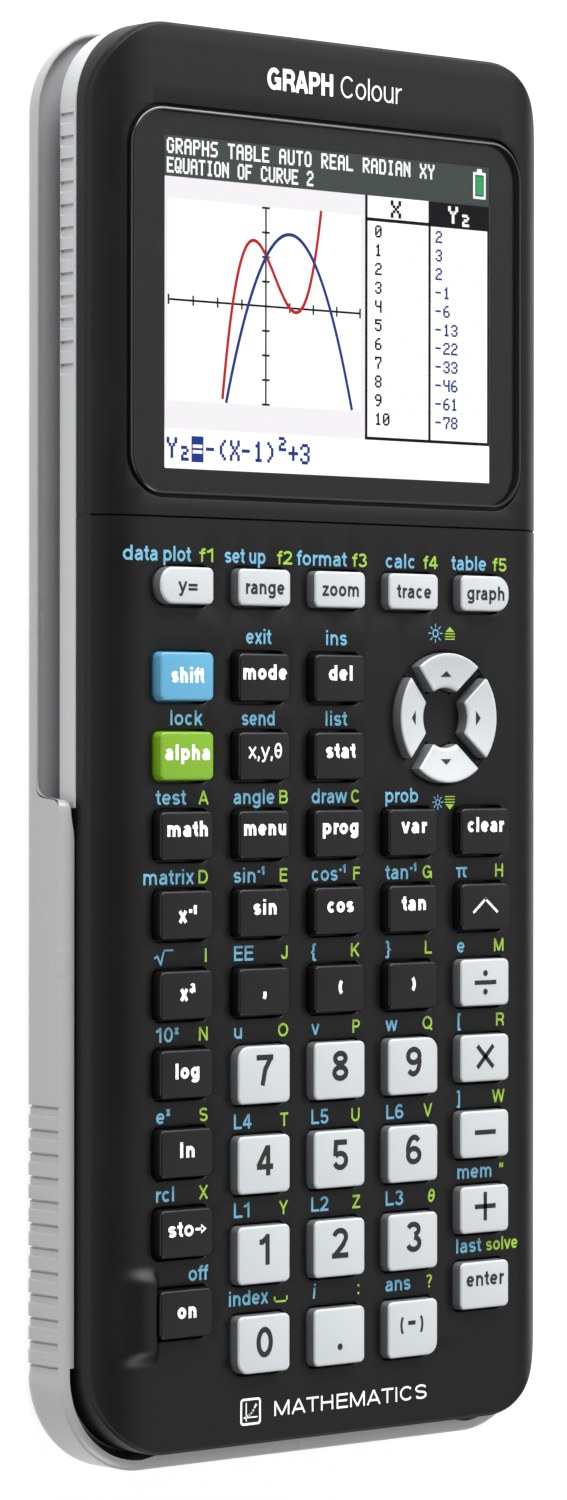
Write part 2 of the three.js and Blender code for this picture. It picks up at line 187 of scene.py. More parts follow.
def fill(build, outer, holes, z, extra=(), flip=False, mat=0, clear=0.25):
    """Triangulates the area between outer and holes, with extra points inside it, at height z(x, y)."""
    pts, edges = [], []

    def add(loop):
        base = len(pts)
        pts.extend(Vector((p[0], p[1])) for p in loop)
        n = len(loop)
        edges.extend((base + i, base + (i + 1) % n) for i in range(n))

    add(outer)
    for h in holes:
        add(h)
    fixed = len(pts)
    boxes = []
    for h in holes:
        xs = [p[0] for p in h]
        ys = [p[1] for p in h]
        boxes.append((min(xs), max(xs), min(ys), max(ys), h))

    def blocked(x, y, pad):
        for x0, x1, y0, y1, h in boxes:
            if x0 - pad < x < x1 + pad and y0 - pad < y < y1 + pad:
                if inside((x, y), h):
                    return True
                if pad and min((x - p[0]) ** 2 + (y - p[1]) ** 2 for p in h) < pad * pad:
                    return True
        return False

    for x, y in extra:
        if inside((x, y), outer) and not blocked(x, y, clear):
            pts.append(Vector((x, y)))
    vo, _, fo, _, _, _ = delaunay_2d_cdt(pts, edges, [], 0, 1e-5)
    zf = z if callable(z) else (lambda x, y: z)
    for f in fo:
        cx = sum(vo[i][0] for i in f) / len(f)
        cy = sum(vo[i][1] for i in f) / len(f)
        if not inside((cx, cy), outer) or blocked(cx, cy, 0):
            continue
        p = [(vo[i][0], vo[i][1], zf(vo[i][0], vo[i][1])) for i in f]
        build.face(list(reversed(p)) if flip else p, mat)


# ------------------------------------------------------------------ materials
def principled(name, color, rough, coat=0.0, coat_rough=0.1, spec=0.5, metallic=0.0):
    m = bpy.data.materials.new(name)
    m.use_nodes = True
    nt = m.node_tree
    b = nt.nodes["Principled BSDF"]
    b.inputs["Base Color"].default_value = (*color, 1)
    b.inputs["Roughness"].default_value = rough
    b.inputs["Metallic"].default_value = metallic
    b.inputs["Specular IOR Level"].default_value = spec
    b.inputs["Coat Weight"].default_value = coat
    b.inputs["Coat Roughness"].default_value = coat_rough
    return m, nt, b


def srgb(h):
    out = []
    for i in (0, 2, 4):
        c = int(h[i:i + 2], 16) / 255
        out.append(c / 12.92 if c <= 0.04045 else ((c + 0.055) / 1.055) ** 2.4)
    return tuple(out)


def plastic(name, hexcol, rough, grain=0.0006, bump=0.05, rvar=0.06, cvar=0.04, cscale=60.0, coat=0.0, spec=0.5, distance=0.00002):
    """Moulded plastic: fine spark-erosion grain in the bump, slow drift in roughness and tone."""
    col = srgb(hexcol)
    m, nt, b = principled(name, col, rough, coat=coat, spec=spec)
    tc = nt.nodes.new("ShaderNodeTexCoord")
    fine = nt.nodes.new("ShaderNodeTexNoise")
    fine.inputs["Scale"].default_value = 1.0 / grain
    fine.inputs["Detail"].default_value = 3.0
    fine.inputs["Roughness"].default_value = 0.6
    nt.links.new(tc.outputs["Object"], fine.inputs["Vector"])
    bmp = nt.nodes.new("ShaderNodeBump")
    bmp.inputs["Strength"].default_value = bump
    bmp.inputs["Distance"].default_value = distance
    nt.links.new(fine.outputs["Fac"], bmp.inputs["Height"])
    nt.links.new(bmp.outputs["Normal"], b.inputs["Normal"])
    slow = nt.nodes.new("ShaderNodeTexNoise")
    slow.inputs["Scale"].default_value = cscale
    slow.inputs["Detail"].default_value = 4.0
    nt.links.new(tc.outputs["Object"], slow.inputs["Vector"])
    mr = nt.nodes.new("ShaderNodeMapRange")
    mr.inputs["From Min"].default_value = 0.3
    mr.inputs["From Max"].default_value = 0.7
    mr.inputs["To Min"].default_value = max(rough - rvar, 0.02)
    mr.inputs["To Max"].default_value = rough + rvar
    nt.links.new(slow.outputs["Fac"], mr.inputs["Value"])
    nt.links.new(mr.outputs["Result"], b.inputs["Roughness"])
    ramp = nt.nodes.new("ShaderNodeMix")
    ramp.data_type = "RGBA"
    lo = tuple(c * (1 - cvar) for c in col)
    hi = tuple(min(c * (1 + cvar), 1) for c in col)
    ramp.inputs["A"].default_value = (*lo, 1)
    ramp.inputs["B"].default_value = (*hi, 1)
    nt.links.new(fine.outputs["Fac"], ramp.inputs["Factor"])
    nt.links.new(ramp.outputs["Result"], b.inputs["Base Color"])
    return m


def ink(name, hexcol, rough=0.45):
    """Printed ink: nearly even, with faint density changes."""
    return plastic(name, hexcol, rough, grain=0.0003, bump=0.02, rvar=0.04, cvar=0.03, cscale=200.0)


def screen(name, hexcol, strength):
    m, nt, b = principled(name, srgb(hexcol), 0.25)
    b.inputs["Emission Color"].default_value = (*srgb(hexcol), 1)
    b.inputs["Emission Strength"].default_value = strength
    return m


MAT = {}
MAT["black"] = plastic("black_satin_plastic", "090909", 0.42, grain=0.00035, bump=0.35, rvar=0.04, cvar=0.08, distance=0.00003, spec=0.25)
MAT["grey"] = plastic("light_grey_plastic", "b0b1b2", 0.42, grain=0.0004, bump=0.12, rvar=0.04, cvar=0.02)
MAT["cover"] = plastic("slide_cover_plastic", "9d9d9e", 0.30, grain=0.0004, bump=0.10, rvar=0.04, cvar=0.02)
MAT["keyblack"] = plastic("black_key_plastic", "0c0c0d", 0.32, grain=0.0003, bump=0.10, rvar=0.04, cvar=0.05, spec=0.31)
MAT["keywhite"] = plastic("white_key_plastic", "acb0b2", 0.36, grain=0.0003, bump=0.06, rvar=0.04, cvar=0.012)
# darker grey for the sides of the white keys and arrows: painted shade that stands in for the shade falling on the key
# sides
MAT["keywhite_side"] = plastic("white_key_side_painted_shade", "57595b", 0.42, grain=0.0003, bump=0.06, rvar=0.04, cvar=0.02)
MAT["keyblue"] = plastic("blue_key_plastic", "4e8ead", 0.36, grain=0.0003, bump=0.06, rvar=0.04, cvar=0.02)
MAT["keygreen"] = plastic("green_key_plastic", "689415", 0.36, grain=0.0003, bump=0.06, rvar=0.04, cvar=0.02)
MAT["ink_white"] = ink("white_ink", "e6e8e9")
MAT["ink_black"] = ink("black_ink", "0c0c0d")
MAT["ink_blue"] = ink("blue_ink", "609cb8")
MAT["ink_green"] = ink("green_ink", "84ab30")

# ------------------------------------------------------------------ shared shape
HALF_W, TOP_Y, BOT_Y, CORNER_R = 39.25, 93.0, -90.5, 11.0
FACE_Z, FLAT, DROP = 13.4, 29.0, 3.0
SEAM_Y = 29.66
# below this y the black shell reaches down into the gap as painted shade
SHADE_SKIRT_Y = -7.6


def crown(x, y=0.0):
    """Height of the face: level in the middle, easing down to both long sides."""
    d = abs(x) - FLAT
    if d <= 0:
        return FACE_Z
    return FACE_Z - DROP * min(d / (HALF_W - FLAT), 1.0) ** 3.5


def outline(inset, seg=20, notch=0.0):
    """The housing's outline in plan, inset by some millimetres, with three points at each end of the seam."""
    x0, x1, y0, y1 = -HALF_W + inset, HALF_W - inset, BOT_Y + inset, TOP_Y - inset
    r = max(CORNER_R - inset, 0.5)
    out = []
    for cx, cy, sx, sy, a0 in ((x1, y0, 1, -1, -90), (x1, y1, 1, 1, 0), (x0, y1, -1, 1, 90), (x0, y0, -1, -1, 180)):
        for k in range(seg + 1):
            a = math.radians(a0 + 90.0 * k / seg)
            out.append((cx - sx * r + r * math.cos(a), cy - sy * r + r * math.sin(a)))
        if (sx, sy) == (1, -1):
            out += [(x1, SHADE_SKIRT_Y - 0.01), (x1, SHADE_SKIRT_Y), (x1, SEAM_Y - 0.16), (x1 - notch, SEAM_Y), (x1, SEAM_Y + 0.16)]
        if (sx, sy) == (-1, 1):
            out += [(x0, SEAM_Y + 0.16), (x0 + notch, SEAM_Y), (x0, SEAM_Y - 0.16), (x0, SHADE_SKIRT_Y), (x0, SHADE_SKIRT_Y - 0.01)]
    return out



# ------------------------------------------------------------------ keyboard facts
KEY_W = 8.9
COLS = [-26.1, -13.05, 0.0, 13.05, 26.1]
c_, l_, e_ = 0.85, 1.8, 2.2
KEYS = [
    ("key_y_equals", 0, 20.85, 4.85, "white", (c_, c_, e_, e_)),
    ("key_window", 1, 20.85, 4.85, "white", c_),
    ("key_zoom", 2, 20.85, 4.85, "white", c_),
    ("key_trace", 3, 20.85, 4.85, "white", c_),
    ("key_graph", 4, 20.85, 4.85, "white", (e_, e_, c_, c_)),
    ("key_second", 0, 9.2, 6.3, "blue", c_),
    ("key_mode", 1, 9.2, 6.3, "black", c_),
    ("key_delete", 2, 9.2, 6.3, "black", c_),
    ("key_alpha", 0, -1.0, 6.3, "green", c_),
    ("key_variable", 1, -1.0, 6.3, "black", c_),
    ("key_stat", 2, -1.0, 6.3, "black", c_),
    ("key_math", 0, -11.2, 6.3, "black", c_),
    ("key_apps", 1, -11.2, 6.3, "black", c_),
    ("key_program", 2, -11.2, 6.3, "black", c_),
    ("key_vars", 3, -11.2, 6.3, "black", c_),
    ("key_clear", 4, -11.2, 6.3, "black", c_),
    ("key_inverse", 0, -21.35, 6.3, "black", c_),
    ("key_sin", 1, -21.35, 6.3, "black", c_),
    ("key_cos", 2, -21.35, 6.3, "black", c_),
    ("key_tan", 3, -21.35, 6.3, "black", c_),
    ("key_power", 4, -21.35, 6.3, "black", c_),
    ("key_square", 0, -31.6, 6.3, "black", c_),
    ("key_comma", 1, -31.6, 6.3, "black", c_),
    ("key_paren_open", 2, -31.6, 6.3, "black", c_),
    ("key_paren_close", 3, -31.6, 6.3, "black", c_),
    ("key_divide", 4, -31.6, 6.4, "white", c_),
    ("key_log", 0, -41.7, 6.3, "black", c_),
    ("key_multiply", 4, -41.8, 6.4, "white", c_),
    ("key_ln", 0, -51.85, 6.3, "black", c_),
    ("key_minus", 4, -52.05, 6.4, "white", c_),
    ("key_store", 0, -62.1, 6.3, "black", c_),
    ("key_plus", 4, -62.2, 6.4, "white", c_),
    ("key_on", 0, -72.4, 6.3, "black", c_),
    ("key_enter", 4, -72.4, 6.4, "white", c_),
    ("key_7", 1, -42.35, 7.6, "white", (c_, c_, l_, c_)),
    ("key_8", 2, -42.35, 7.6, "white", c_),
    ("key_9", 3, -42.35, 7.6, "white", (c_, l_, c_, c_)),
    ("key_4", 1, -54.0, 7.6, "white", c_),
    ("key_5", 2, -54.0, 7.6, "white", c_),
    ("key_6", 3, -54.0, 7.6, "white", c_),
    ("key_1", 1, -65.7, 7.6, "white", c_),
    ("key_2", 2, -65.7, 7.6, "white", c_),
    ("key_3", 3, -65.7, 7.6, "white", c_),
    ("key_0", 1, -77.3, 7.6, "white", (c_, c_, c_, l_)),
    ("key_point", 2, -77.3, 7.6, "white", c_),
    ("key_negate", 3, -77.3, 7.6, "white", (l_, c_, c_, c_)),
]
KEY_TOP, KEY_ON_TOP = 14.75, 14.7
PAD_X, PAD_Y, PAD_RO, PAD_RI, PAD_SPLIT = 19.55, 4.05, 8.75, 4.0, 1.9
ARROWS = [("arrow_right", 0.0), ("arrow_up", 90.0), ("arrow_left", 180.0), ("arrow_down", -90.0)]


def radii(r, add=0.0):
    rs = r if isinstance(r, tuple) else (r,) * 4
    return [max(v + add, 0.15) for v in rs]


def sector(direction, ro, ri, split, no=14, ni=8, corner=0.0):
    """One quarter of the arrow pad in plan, counter-clockwise, with its corners eased by corner millimetres."""
    h = split / 2
    a0 = math.pi / 4
    ao, ai = a0 - math.asin(h / ro), a0 - math.asin(h / ri)
    pts = []
    for k in range(no + 1):
        a = -ao + 2 * ao * k / no
        pts.append((ro * math.cos(a), ro * math.sin(a)))
    for k in range(ni + 1):
        a = ai - 2 * ai * k / ni
        pts.append((ri * math.cos(a), ri * math.sin(a)))
    if corner:
        n = len(pts)
        hard = {0, no, no + 1, n - 1}
        out = []
        for i, p in enumerate(pts):
            if i not in hard:
                out.append(p)
                continue
            q, s = pts[i - 1], pts[(i + 1) % n]
            for t in (q, s):
                d = math.hypot(t[0] - p[0], t[1] - p[1])
                w = min(corner / d, 0.45)
                out.append((p[0] + (t[0] - p[0]) * w, p[1] + (t[1] - p[1]) * w))
                if t is q:
                    m = ((q[0] - p[0]) / math.hypot(q[0] - p[0], q[1] - p[1]) + (s[0] - p[0]) / math.hypot(s[0] - p[0], s[1] - p[1]),
                         (q[1] - p[1]) / math.hypot(q[0] - p[0], q[1] - p[1]) + (s[1] - p[1]) / math.hypot(s[0] - p[0], s[1] - p[1]))
                    out.append((p[0] + m[0] * corner * 0.25, p[1] + m[1] * corner * 0.25))
        pts = out
    t = math.radians(direction)
    c, s = math.cos(t), math.sin(t)
    return [(PAD_X + x * c - y * s, PAD_Y + x * s + y * c) for x, y in pts]


def circle(cx, cy, r, n=48):
    return [(cx + r * math.cos(2 * math.pi * k / n), cy + r * math.sin(2 * math.pi * k / n)) for k in range(n)]


def smooth(t):
    t = min(max(t, 0.0), 1.0)
    return t * t * (3 - 2 * t)


# ------------------------------------------------------------------ front housing
GUARD_EDGE = -31.05
PAD_R = 9.17


def guard(x, y):
    """Height of the moulded ridge beside the on key."""
    if x < -38 or x > -29.2 or y < -80 or y > -65:
        return 0.0
    along = smooth((y + 79.2) / 2.6) * smooth((-65.8 - y) / 2.6)
    rise = smooth((x + 36.9) / 4.9)
    fade = 1.0 - smooth((x - GUARD_EDGE) / 1.5)
    return max((14.5 - crown(x)) * rise * along * fade, 0.0)


def dish(r, top, k):
    """Height of a shallow dish: top at the rim of the arrow pad, falling towards its middle."""
    return top - k * (PAD_R * PAD_R - r * r)


def pad_floor(x, y):
    return dish(math.hypot(x - PAD_X, y - PAD_Y), 13.2, 0.013)


def pad_top(x, y):
    return dish(math.hypot(x - PAD_X, y - PAD_Y), 14.86, 0.013)


def face_z(x, y):
    return crown(x) + guard(x, y)


def housing_ring(inset, z, seam=0.0, notch=0.0):
    """One ring of the front housing; z is a height, or a drop below the crowned face given as a tuple."""
    out = []
    for x, y in outline(inset, notch=notch):
        zz = crown(x) + z[0] if isinstance(z, tuple) else z
        if abs(y - SEAM_Y) < 1e-6:
            zz -= seam
        out.append((x, y, zz))
    return out


def divide(ring, counts):
    out = []
    n = len(ring)
    for i in range(n):
        a, b = ring[i], ring[(i + 1) % n]
        for j in range(counts[i]):
            t = j / counts[i]
            out.append((a[0] + (b[0] - a[0]) * t, a[1] + (b[1] - a[1]) * t))
    return out


def counts_for(ring, step):
    n = len(ring)
    return [max(int(math.dist(ring[i], ring[(i + 1) % n]) / step), 1) for i in range(n)]


def down(rings3):
    return [list(reversed(q)) for q in rings3]


def make_front_housing():
    b = Build()
    # below the step in the slide cover the black skirt of the shell reaches further down: a dark band put there as
    # painted shade, standing in for the shadow in the gap between cover and body
    gap_shade_skirt = lambda inset, low, high: [(x, y, low if y < SHADE_SKIRT_Y - 0.005 else high) for x, y in outline(inset, notch=0.1 if inset < 0.3 else 0.0)]
    outer = [
        housing_ring(1.85, 8.25),
        housing_ring(0.60, 8.25),
        gap_shade_skirt(0.60, 6.75, 8.25),
        gap_shade_skirt(0.10, 6.75, 8.25),
        gap_shade_skirt(0.00, 6.85, 8.35),
        housing_ring(0.00, (-0.62,), notch=0.12),
        housing_ring(0.03, (-0.50,), notch=0.12),
        housing_ring(0.10, (-0.42,), notch=0.12),
        housing_ring(0.26, (-0.38,), seam=0.06),
        housing_ring(0.29, (-0.26,), seam=0.1),
        housing_ring(0.34, (-0.10,), seam=0.2),
        housing_ring(0.42, (-0.03,), seam=0.26),
        housing_ring(0.60, (0.0,), seam=0.3),
    ]
    b.rings(outer)
    inner = [housing_ring(1.85, 8.25), housing_ring(1.85, 9.3), housing_ring(5.0, 11.6)]
    b.rings(down(inner))
    # the face is two fields either side of the seam
    plan = [(p[0], p[1]) for p in outer[-1]]
    ir = [i for i, p in enumerate(plan) if p[0] > 0 and abs(p[1] - SEAM_Y) < 1e-6][0]
    il = [i for i, p in enumerate(plan) if p[0] < 0 and abs(p[1] - SEAM_Y) < 1e-6][0]
    xe = plan[ir][0]
    mid = [-xe + 2 * xe * i / 60 for i in range(1, 60)]
    row = [-xe] + mid + [xe]
    lo_row = [(x, SEAM_Y - 0.16, crown(x)) for x in row]
    md_row = [(x, SEAM_Y, crown(x) - 0.3) for x in row]
    hi_row = [(x, SEAM_Y + 0.16, crown(x)) for x in row]
    b.strip(lo_row, md_row, closed=False)
    b.strip(md_row, hi_row, closed=False)
    upper = plan[ir + 1:il] + [(x, SEAM_Y + 0.16) for x in mid]
    lower = plan[il + 1:] + plan[:ir] + [(x, SEAM_Y - 0.16) for x in reversed(mid)]
    grid = []
    xs = [0.0, 6.0, 12.0, 18.0, 24.0, 27.5, 28.9, 29.9, 30.9, 31.6, 32.3, 33.0, 33.7, 34.4, 35.1, 35.8, 36.5, 37.1, 37.7, 38.2]
    y = BOT_Y + 1.4
    while y < TOP_Y - 1.0:
        for x in xs:
            for s in ((1, -1) if x else (1,)):
                if not (-38.6 < s * x < -28.6 and -80.2 < y < -64.6):
                    grid.append((s * x, y + 0.002 * math.sin(x * 7.0)))
        y += 2.6
    yy = -80.0
    while yy < -64.8:
        xx = -38.4
        while xx < -28.8:
            grid.append((xx, yy))
            xx += 0.4
        yy += 0.4
    fillet = ((0.14, 0.0), (0.065, -0.03), (0.017, -0.077), (0.0, -0.14))
    holes, under = [], []
    for name, col, ky, h, colour, r in KEYS:
        x = COLS[col]

        def loop_at(add):
            g = 0.3 + add
            return rr(x - KEY_W / 2 - g, x + KEY_W / 2 + g, ky - h / 2 - g, ky + h / 2 + g, radii(r, g), 6)

        n = counts_for(loop_at(0.0), 0.45 if name == "key_on" else 100.0)
        rings3 = []
        for add, dz in fillet:
            rings3.append([(px, py, face_z(px, py) + dz) for px, py in divide(loop_at(add), n)])
        base = divide(loop_at(0.0), n)
        rings3.append(at(base, 11.6))
        b.rings(rings3)
        holes.append([(p[0], p[1]) for p in rings3[0]])
        under.append(base)
    # arrow pad: a shallow round dish with an opening for each of its keys
    rim = ((PAD_R + 0.14, 0.0), (PAD_R + 0.06, -0.02), (PAD_R + 0.01, -0.08))
    pad = [at(circle(PAD_X, PAD_Y, r_, 72), FACE_Z + dz) for r_, dz in rim]
    pad.append([(px, py, pad_floor(px, py)) for px, py in circle(PAD_X, PAD_Y, PAD_R, 72)])
    b.rings(pad)
    holes.append(circle(PAD_X, PAD_Y, PAD_R + 0.14, 72))
    pad_holes = []
    for name, a in ARROWS:
        ring = sector(a, PAD_RO + 0.22, PAD_RI - 0.25, PAD_SPLIT - 0.5)
        pad_holes.append(ring)
        under.append(ring)
        b.rings([[(px, py, pad_floor(px, py)) for px, py in ring], at(ring, 11.6)])
    web = [q for r_, n_ in ((0.7, 8), (1.5, 14), (2.3, 20), (3.1, 28)) for q in circle(PAD_X, PAD_Y, r_, n_)] + [(PAD_X, PAD_Y)]
    fill(b, circle(PAD_X, PAD_Y, PAD_R, 72), pad_holes, pad_floor, extra=web, clear=0.1)
    fill(b, lower, holes, face_z, extra=grid)
    # window recess and the opening over the display
    lo, hi = box_mm("display_window")

    def win(add):
        return rr(lo[0] - add, hi[0] + add, lo[1] - add, hi[1] + add, 5.3 + add, 12)

    wr = [[(px, py, crown(px) + dz) for px, py in win(0.4 + a)] for a, dz in ((0.16, 0.0), (0.06, -0.03), (0.0, -0.14))]
    wr.append(at(win(0.4), 12.62))
    b.rings(wr)
    lcd = rr(-30.3, 30.3, 57.25 - 23.3, 57.25 + 23.3, 0.8, 3)
    fill(b, win(0.4), [lcd], 12.62)
    b.rings([at(lcd, 12.62), at(lcd, 11.6)])
    under.append(lcd)
    fill(b, upper, [win(0.56)], crown, extra=grid)
    fill(b, [(q[0], q[1]) for q in inner[-1]], under, 11.6, flip=True)
    ob = b.object("front_housing_shell", [MAT["black"]], sharp=28)
    lo, hi = box_mm("usb_port")
    cut(ob, (30.0, 45.0, 73.9, 82.1, 6.45, 10.15))
    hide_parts("front_housing")
    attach(ob, ROOT)
    return ob


def cut(ob, box6, radius=0.8):
    """Cuts a rounded bar along X out of ob and keeps the result as its mesh."""
    x0, x1, y0, y1, z0, z1 = box6
    b = Build()
    ring = rr(y0, y1, z0, z1, radius, 6)
    a = [(x0, p, q) for p, q in ring]
    c = [(x1, p, q) for p, q in ring]
    b.rings([a, c])
    b.cap(a, flip=True)
    b.cap(c)
    tool = b.object("tool", [], sharp=30)
    mod = ob.modifiers.new("cut", "BOOLEAN")
    mod.object = tool
    mod.operation = "DIFFERENCE"
    mod.solver = "EXACT"
    dg = bpy.context.evaluated_depsgraph_get()
    me = bpy.data.meshes.new_from_object(ob.evaluated_get(dg))
    ob.modifiers.remove(mod)
    old = ob.data
    ob.data = me
    bpy.data.meshes.remove(old)
    bpy.data.objects.remove(tool)
    me.set_sharp_from_angle(angle=math.radians(28))


def open_edges(ob):
    bm = bmesh.new()
    bm.from_mesh(ob.data)
    n = sum(1 for e in bm.edges if len(e.link_faces) != 2)
    bm.free()
    return n


# ------------------------------------------------------------------ keys
def make_key(name, x, y, w, h, r, colour, top):
    b = Build()
    lay = [
        (0.75, 10.4), (0.75, 11.15), (0.6, 11.3), (0.0, 11.3), (0.0, 13.2),
        (-0.06, top - 0.30), (-0.09, top - 0.17), (-0.15, top - 0.07), (-0.23, top - 0.018), (-0.34, top),
    ]
    rings3 = []
    for add, z in lay:
        rings3.append(at(rr(x - w / 2 - add, x + w / 2 + add, y - h / 2 - add, y + h / 2 + add, radii(r, add), 7), z))
    # the sides take the second material; on white keys it is painted shade, a darker grey than the top
    b.rings(rings3[:6], mat=1)
    b.rings(rings3[5:])
    b.cap(rings3[0], flip=True, mat=1)
    b.cap(rings3[-1])
    ob = b.object(name + "_cap", [MAT["key" + colour], MAT.get("key" + colour + "_side", MAT["key" + colour])], sharp=40)
    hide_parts(name)
    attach(ob, BODY_OF[name])
    return ob


def make_arrow(name, a):
    b = Build()
    lay = [
        (0.7, 10.4, 0), (0.7, 11.3, 0), (0.0, 11.3, 0), (0.0, 13.1, 0),
        (-0.05, -0.26, 1), (-0.08, -0.14, 1), (-0.14, -0.05, 1), (-0.24, 0.0, 1),
    ]
    rings3 = []
    for add, z, on_top in lay:
        ring = sector(a, PAD_RO + add, PAD_RI - add, PAD_SPLIT - 2 * min(add, 0.3), corner=0.22)
        rings3.append([(x, y, pad_top(x, y) + z) for x, y in ring] if on_top else at(ring, z))
    # the sides take the second material, a darker grey: painted shade on the arrow sides
    b.rings(rings3[:5], mat=1)
    b.rings(rings3[4:])
    b.cap(rings3[0], flip=True, mat=1)
    web = [q for r_ in (4.7, 5.3, 5.9, 6.5, 7.1, 7.7, 8.2) for q in circle(PAD_X, PAD_Y, r_, 60)]
    fill(b, [(p[0], p[1]) for p in rings3[-1]], [], pad_top, extra=[q for q in web if min(math.dist(q, (p[0], p[1])) for p in rings3[-1]) > 0.16])
    ob = b.object(name + "_cap", [MAT["keywhite"], MAT["keywhite_side"]], sharp=40)
    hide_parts(name)
    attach(ob, BODY_OF[name])
    return ob


make_front_housing()
for name, col, ky, h, colour, r in KEYS:
    make_key(name, COLS[col], ky, KEY_W, h, r, colour, KEY_ON_TOP if name == "key_on" else KEY_TOP)
for name, a in ARROWS:
    make_arrow(name, a)
# ------------------------------------------------------------------ rear housing
def side_path(half_w, top_y, bot_y, corner, ys, seg=18, top_corner=None):
    """A rounded outline, counter-clockwise, as (x, y, nx, ny) at inset 0, with the straight sides cut at ys."""
    out = []
    top_corner = top_corner or corner

    def arc(cx, cy, a0, r):
        for k in range(seg + 1):
            a = math.radians(a0 + 90.0 * k / seg)
            out.append((cx + r * math.cos(a), cy + r * math.sin(a), math.cos(a), math.sin(a)))

    mid = [y for y in sorted(ys) if bot_y + corner + 0.02 < y < top_y - top_corner - 0.02]
    ends = [x for x in (-24.0, -12.0, 0.0, 12.0, 24.0) if abs(x) < half_w - corner - 0.5]
    arc(half_w - corner, bot_y + corner, -90, corner)
    out += [(half_w, y, 1.0, 0.0) for y in mid]
    arc(half_w - top_corner, top_y - top_corner, 0, top_corner)
    out += [(x, top_y, 0.0, 1.0) for x in reversed(ends)]
    arc(-half_w + top_corner, top_y - top_corner, 90, top_corner)
    out += [(-half_w, y, -1.0, 0.0) for y in reversed(mid)]
    arc(-half_w + corner, bot_y + corner, 180, corner)
    out += [(x, bot_y, 0.0, -1.0) for x in ends]
    return out


def groove_ys(first, last, n, half=0.72):
    ys = []
    for i in range(n):
        c = first + (last - first) * i / (n - 1)
        ys += [c - half, c - half + 0.17, c - half + 0.19, c, c + half - 0.36, c + half - 0.34, c + half - 0.02, c + half]
    return ys


def groove_depth(y, first, last, n, half=0.72):
    """Depth in millimetres of a finger groove at y: a narrow slit along its upper edge, a shallow floor, an eased lower edge."""
    for i in range(n):
        c = first + (last - first) * i / (n - 1)
        d = y - c
        if -half < d < half:
            if d > half - 0.02:
                return 0.5 * (half - d) / 0.02
            if d > half - 0.341:
                return 0.5
            if d < -half + 0.18:
                return (d + half) / 0.18 * 0.22
            return 0.24
    return 0.0


GROOVE_A = (48.36, 80.34, 12)
GROOVE_B = (-79.4, -46.3, 12)


def make_rear_housing():
    ys = groove_ys(*GROOVE_A) + [SHADE_SKIRT_Y, SHADE_SKIRT_Y - 0.01, -7.3, -7.31, 20.0, 0.0, -30.0, -50.0, -70.0]
    path = side_path(HALF_W, TOP_Y - 0.4, BOT_Y, CORNER_R, ys, top_corner=10.8)

    def ring(inset, z, groove=0.0, slot_cut=False):
        out = []
        for x, y, nx, ny in path:
            px, py = x - nx * inset, y - ny * inset
            if groove and abs(nx) > 0.999:
                px -= nx * groove * groove_depth(y, *GROOVE_A)
            if slot_cut and y < -7.305 and abs(px) > 37.95:
                px = math.copysign(37.95, px)
            out.append((px, py, z))
        return out

    def shelf(inset, z, groove=0.0):
        """As ring, but drawn in and down below the step, where the front shell's skirt covers it."""
        a, c = ring(max(inset, 0.72), 6.65), ring(inset, z, groove)
        return [p if q[1] < SHADE_SKIRT_Y - 0.005 else r for p, q, r in zip(a, path, c)]

    b = Build()
    b.rings([
        ring(1.85, 8.15), shelf(0.72, 8.15), shelf(0.14, 8.15), shelf(0.0, 8.02), shelf(0.0, 7.72), shelf(0.0, 7.62, 0.6), shelf(0.0, 7.5, 1.0),
        ring(0.0, 6.65, 1.0), ring(0.0, 6.65, 1.0, True), ring(0.0, 5.15, 1.0, True), ring(0.0, 5.15, 1.0),
        ring(0.0, 5.12, 0.6), ring(0.0, 5.02), ring(0.06, 4.9), ring(0.2, 4.82), ring(0.42, 4.8),
        ring(3.05, 4.8), ring(3.05, 3.75), ring(3.1, 3.55), ring(3.22, 3.42), ring(3.38, 3.33), ring(3.55, 3.3),
    ])
    inner = [ring(1.85, 8.15), ring(1.85, 6.95), ring(4.9, 6.95), ring(4.9, 4.6)]
    b.rings(down(inner))
    door = rr(-29.15, 29.15, 33.85, 78.15, 2.2, 8)
    screws = [(x, y) for x in (-32.3, 32.3) for y in (84.5, -82.0)]
    wells = [circle(x, y, 1.9, 24) for x, y in screws]
    outer_back = [(p[0], p[1]) for p in ring(3.55, 3.3)]
    ledge = rr(-30.0, 30.0, 33.0, 79.0, 2.8, 8)
    # a stepped border round the battery door, and the screw wells
    fill(b, outer_back, [ledge] + wells, 3.3, flip=True)
    b.rings(down([at(ledge, 3.3), at(door, 3.42), at(door, 4.6)]))
    for w in wells:
        cx = sum(p[0] for p in w) / len(w)
        cy = sum(p[1] for p in w) / len(w)
        tight = circle(cx, cy, 1.7, 24)
        b.rings(down([at(w, 3.3), at(tight, 3.45), at(tight, 4.35)]))
        b.cap(at(tight, 4.35), flip=True)
    fill(b, [(p[0], p[1]) for p in inner[-1]], [door], 4.6)
    ob = b.object("rear_housing_shell", [MAT["grey"]], sharp=24)
    cut(ob, (30.0, 45.0, 73.9, 82.1, 6.45, 10.15))
    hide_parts("rear_housing")
    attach(ob, ROOT)
    # screws seated in the wells
    for i, (x, y) in enumerate(screws):
        screw_head("rear_screw_%d" % (i + 1), x, y, 3.62, 1.55, ROOT)
    # thin rubber feet
    for i, (x, y) in enumerate([(x, y) for x in (-27.0, 27.0) for y in (84.0, -80.0)]):
        f = Build()
        fr = lambda add: rr(x - 4.2 - add, x + 4.2 + add, y - 1.5 - add, y + 1.5 + add, 1.5 + add, 8)
        rings3 = [at(fr(0.0), 3.4), at(fr(0.0), 3.05), at(fr(-0.05), 2.93), at(fr(-0.2), 2.86), at(fr(-0.4), 2.84)]
        f.rings(down(rings3))
        f.cap(rings3[0])
        f.cap(rings3[-1], flip=True)
        o = f.object("rear_foot_%d" % (i + 1), [MAT["rubber"]], sharp=40)
        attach(o, ROOT)


